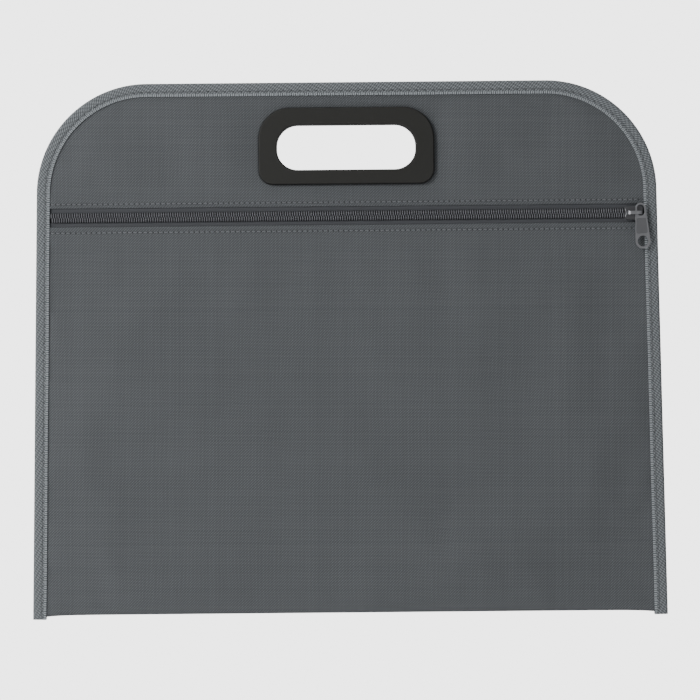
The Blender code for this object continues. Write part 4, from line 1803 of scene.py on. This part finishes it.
@dataclass
class GripFrame:
    """The two moulded plates of the hand hole."""

    finish: Material | None = None
    front_shaded_finish: Material | None = None
    top_corner: float = 18.5 * MM
    bottom_corner: float = 8.5 * MM
    slot_corner: float = 12.5 * MM
    slot_width: float = 82.9 * MM
    slot_height: float = 26.9 * MM
    collar_wall: float = 1.2 * MM
    fit_gap: float = 0.3 * MM
    collar_gap: float = 0.02 * MM
    overshoot: float = 1 * MM
    edge_round: float = 0.8 * MM

    def prism(self, name: str, low: Point, high: Point, radii: tuple[float, float]) -> Item:
        """A plate with rounded corners, seen from the front.

        Args:
            name: its name.
            low: lowest corner of its box.
            high: highest corner of its box.
            radii: radius of the bottom and of the top corners.

        Returns:
            The plate.
        """
        item = primitive(bpy.ops.mesh.primitive_plane_add, size=1, rotation=UPRIGHT)
        item.name = name
        for vert in item.data.vertices:
            x = high[0] if vert.co.x > 0 else low[0]
            z = high[2] if vert.co.z > 0 else low[2]
            vert.co = (x, low[1], z)
        for edge, radius in ((high[2], radii[1]), (low[2], radii[0])):
            pick(item, lambda co, edge=edge: abs(co.z - edge) < TOUCH, "VERT")
            bpy.ops.mesh.bevel(
                offset=radius, offset_type="OFFSET", segments=14, affect="VERTICES", clamp_overlap=False
            )
            leave_edit()
        pick(item, lambda _: True, "FACE")
        bpy.ops.mesh.extrude_region_move(TRANSFORM_OT_translate={"value": (0, high[1] - low[1], 0)})
        bpy.ops.mesh.select_all(action="SELECT")
        bpy.ops.mesh.normals_make_consistent(inside=False)
        leave_edit()
        return item

    def slot_prism(self, name: str, grow: float, front: float, back: float) -> Item:
        """The finger slot's shape as a solid, grown outwards.

        Args:
            name: its name.
            grow: how far it is grown.
            front: its front depth.
            back: its back depth.

        Returns:
            The solid.
        """
        half = self.slot_width / 2 + grow
        radius = self.slot_corner + grow
        low = (-half, front, -self.slot_height - grow)
        return self.prism(name, low, (half, back, grow), (radius, radius))

    def plate(self, name: str, node: str, front: float, back: float, grow: float, face: float) -> Item:
        """One plate with its opening cut and its outer face's edges rounded.

        Args:
            name: its name.
            node: the CAD node that gives its outline.
            front: its front depth.
            back: its back depth.
            grow: how much larger than the finger slot its opening is.
            face: the depth of the face whose edges are rounded.

        Returns:
            The plate.
        """
        low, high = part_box(node)
        radii = (self.bottom_corner, self.top_corner)
        item = self.prism(name, (low.x, front, low.z), (high.x, back, high.z), radii)
        cut(item, self.slot_prism("cutter", grow, front - self.overshoot, back + self.overshoot))
        pick(item, lambda co: abs(co.y - face) < TOUCH, "EDGE")
        bpy.ops.mesh.region_to_loop()
        bpy.ops.mesh.bevel(offset=self.edge_round, segments=5, affect="EDGES", clamp_overlap=False)
        leave_edit()
        return item

    def build_front(self) -> Item:
        """Make the front plate with the collar that lines the slot.

        Returns:
            The plate.
        """
        low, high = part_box("handle_front")
        root = -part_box("handle_back")[0].y
        item = self.plate("grip_front", "handle_front", low.y, root, 0.0, low.y)
        collar = self.slot_prism("collar", self.collar_wall, root + self.collar_gap, high.y)
        cut(collar, self.slot_prism("cutter", 0.0, root - self.overshoot, high.y + self.overshoot))
        activate(collar)
        item.select_set(True)
        bpy.context.view_layer.objects.active = item
        bpy.ops.object.join()
        crisp(item, 35)
        dress(item, self.front_shaded_finish)
        return install(item, Body.BAG, Slot.PLASTIC, "handle_front")

    def build_back(self) -> Item:
        """Make the back plate, which fits round the collar.

        Returns:
            The plate.
        """
        low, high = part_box("handle_back")
        grow = self.collar_wall + self.fit_gap
        item = self.plate("grip_back", "handle_back", low.y, high.y, grow, high.y)
        crisp(item, 35)
        dress(item, self.finish)
        return install(item, Body.BAG, Slot.PLASTIC, "handle_back")


# Studio


@dataclass(frozen=True)
class Light:
    """One soft square light: where it stands, its width and its power in watts."""

    name: str
    place: Point
    size: float
    power: float


LIGHTS = (
    Light("key", (-1.0, -1.25, 0.5), 0.4, 14.0),
    Light("low_fill", (-1.0, -1.1, -0.85), 0.5, 17.0),
    Light("overhead", (0.0, 0.1, 1.7), 2.0, 20.0),
    Light("edge", (-1.3, -0.5, 0.1), 0.5, 4.0),
    Light("back_fill", (1.2, 1.8, 0.8), 1.6, 25.0),
)


@dataclass
class Studio:
    """Pale floor, soft light and the camera."""

    outline: Outline
    view_width: float = 419.1 * MM
    distance: float = 1.35
    sensor: float = 36.0
    aim_x: float = 1.15 * MM
    aim_height: float = 159.6 * MM
    roll: float = math.radians(0.53)
    near_clip: float = 0.05
    floor_drop: float = 0.42
    floor_size: float = 4.0
    ambient: float = 0.27
    backdrop: float = 3.6

    def build_floor(self) -> None:
        """Lay a pale floor below the hanging bag."""
        place = (0, 0, self.outline.low - self.floor_drop)
        grid = bpy.ops.mesh.primitive_grid_add
        floor = primitive(grid, x_subdivisions=8, y_subdivisions=8, size=self.floor_size, location=place)
        floor.name = "studio_floor"
        g = Graph("studio_paper")
        x, y, _ = g.axes("Object")
        value = g.noise(g.vector(x, y), 3.0).scaled(0.03, 0.985)
        dress(floor, g.finish(g.tint(PAPER_COLOUR, value), 0.9, specular=0.2))

    def add_light(self, light: Light) -> None:
        """Add one light, aimed at the bag.

        Args:
            light: the light.
        """
        data = bpy.data.lights.new(light.name, "AREA")
        data.shape = "SQUARE"
        data.size = light.size
        data.energy = light.power
        lamp = bpy.data.objects.new(light.name, data)
        bpy.context.scene.collection.objects.link(lamp)
        lamp.location = light.place
        target = Vector((0, 0, self.outline.low + self.aim_height))
        lamp.rotation_euler = (target - lamp.location).to_track_quat("-Z", "Y").to_euler()

    def build(self) -> None:
        """Set up the world, the lights, the floor and the camera."""
        world = bpy.data.worlds.new("studio")
        bpy.context.scene.world = world
        world.use_nodes = True
        backdrop = world.node_tree.nodes["Background"]
        backdrop.inputs["Color"].default_value = (1, 1, 1, 1)
        seen = world.node_tree.nodes.new("ShaderNodeLightPath").outputs["Is Camera Ray"]
        strength = world.node_tree.nodes.new("ShaderNodeMapRange")
        strength.inputs["To Min"].default_value = self.ambient
        strength.inputs["To Max"].default_value = self.backdrop
        world.node_tree.links.new(seen, strength.inputs["Value"])
        world.node_tree.links.new(strength.outputs[0], backdrop.inputs["Strength"])
        for light in LIGHTS:
            self.add_light(light)
        self.build_floor()
        data = bpy.data.cameras.new("camera")
        data.sensor_width = self.sensor
        data.lens = self.sensor * self.distance / self.view_width
        data.clip_start = self.near_clip
        camera = bpy.data.objects.new("camera", data)
        bpy.context.scene.collection.objects.link(camera)
        z = self.outline.low + self.aim_height
        camera.matrix_world = (
            Matrix.Translation((self.aim_x, -self.distance, z))
            @ Matrix.Rotation(math.pi / 2, 4, "X")
            @ Matrix.Rotation(-self.roll, 4, "Z")
        )
        bpy.context.scene.camera = camera


def needle_rows() -> tuple[StitchHoles, ...]:
    """The rows of needle holes above and below the zip.

    Returns:
        The upper row and the lower row.
    """
    rows = []
    for side, pitch in zip(Side, NEEDLE_PITCHES):
        low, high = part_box(f"zip_needle_thread_{side.name.lower()}")
        rows.append(StitchHoles((low.z + high.z) / 2, pitch, low.x))
    return tuple(rows)


def build_chain(outline: Outline) -> None:
    """Make the two coils and their tapes.

    Args:
        outline: the bag's outline, which the tapes end at.
    """
    centre, reach = chain_line()
    weave = TapeWeave(TAPE_COLOUR, centre, reach + 0.2 * MM).build("zip_tape_weave")
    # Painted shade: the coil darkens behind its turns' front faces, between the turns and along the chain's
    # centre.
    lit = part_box("zip_coil_upper")[0].y + 0.3 * MM
    depth_shaded_nylon = replace(COIL_NYLON, lit_depth=lit).build("coil_nylon")
    chain = CoilChain(outline)
    for side in Side:
        chain.build_coil(side, depth_shaded_nylon)
        chain.build_tape(side, weave)


def build_slider() -> None:
    """Make the cast slider and its lip."""
    bridge_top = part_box("slider_body")[0].y
    # Painted shade: the slider darkens with depth behind its bridge, so the bridge reads bright and the body
    # dark.
    slider_shaded_metal = replace(GUNMETAL, lit_depth=bridge_top + 0.9 * MM, shade_depth=1.6 * MM, shade=0.6)
    slider = softened_copy("slider_body", "slider_cast", 0.16 * MM, 3)
    dress(slider, slider_shaded_metal.build("slider_gunmetal"))
    install(slider, Body.SLIDER, Slot.METAL, "slider_body")
    SliderLip().build(GUNMETAL.build("lip_gunmetal"))


def main() -> None:
    """Build the studio, then every sub-assembly of the bag."""
    logging.basicConfig(level=logging.INFO, format="%(name)s: %(message)s")
    black_plastic = BLACK_PLASTIC.build("black_plastic")
    seam_thread = SEAM_THREAD.build("seam_thread")
    binding_thread = BINDING_THREAD.build("binding_thread")
    outline = Outline.from_frame()
    Studio(outline).build()

    grip_low, grip_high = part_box("handle_front")
    # Painted shade: the front plate darkens just behind its face, a dark line along its rounded edges and
    # the slot's walls.
    front = replace(BLACK_PLASTIC, lit_depth=grip_low.y + 0.03 * MM, shade_depth=0.4 * MM, shade=0.7)
    grip = GripFrame(black_plastic, front.build("black_plastic_front_shaded"))
    plate = PlateShadowOutline(grip_high.x, grip_low.z, grip_high.z, grip.bottom_corner, grip.top_corner)
    seams = needle_rows()
    panels = Panels(outline, PlainWeave(PANEL_COLOUR, seams, plate).build("panel_weave"))
    panels.build_body()
    panels.build_upper()

    binding = EdgeBinding(outline)
    binding.build_tape()
    for needle in (True, False):
        binding.build_seam(needle, binding_thread)

    build_chain(outline)
    face = -panels.layer - panels.hem_lift - panels.thickness / 2
    for side, row in zip(Side, seams):
        seam = ZipSeam(side, row.z, face, row.pitch)
        for needle in (True, False):
            seam.build(needle, seam_thread)

    build_slider()
    tab_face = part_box("pull_tab")[0].y
    # Painted shade: the tab's recessed panels and sides are darkened against its front rim.
    tab_depth_shaded = replace(GUNMETAL, lit_depth=tab_face + 0.06 * MM, shade_depth=0.2 * MM, shade=0.3)
    PullTab().build(tab_depth_shaded.build("tab_gunmetal_depth_shaded"))

    grip.build_front()
    grip.build_back()


if __name__ == "__main__":
    main()
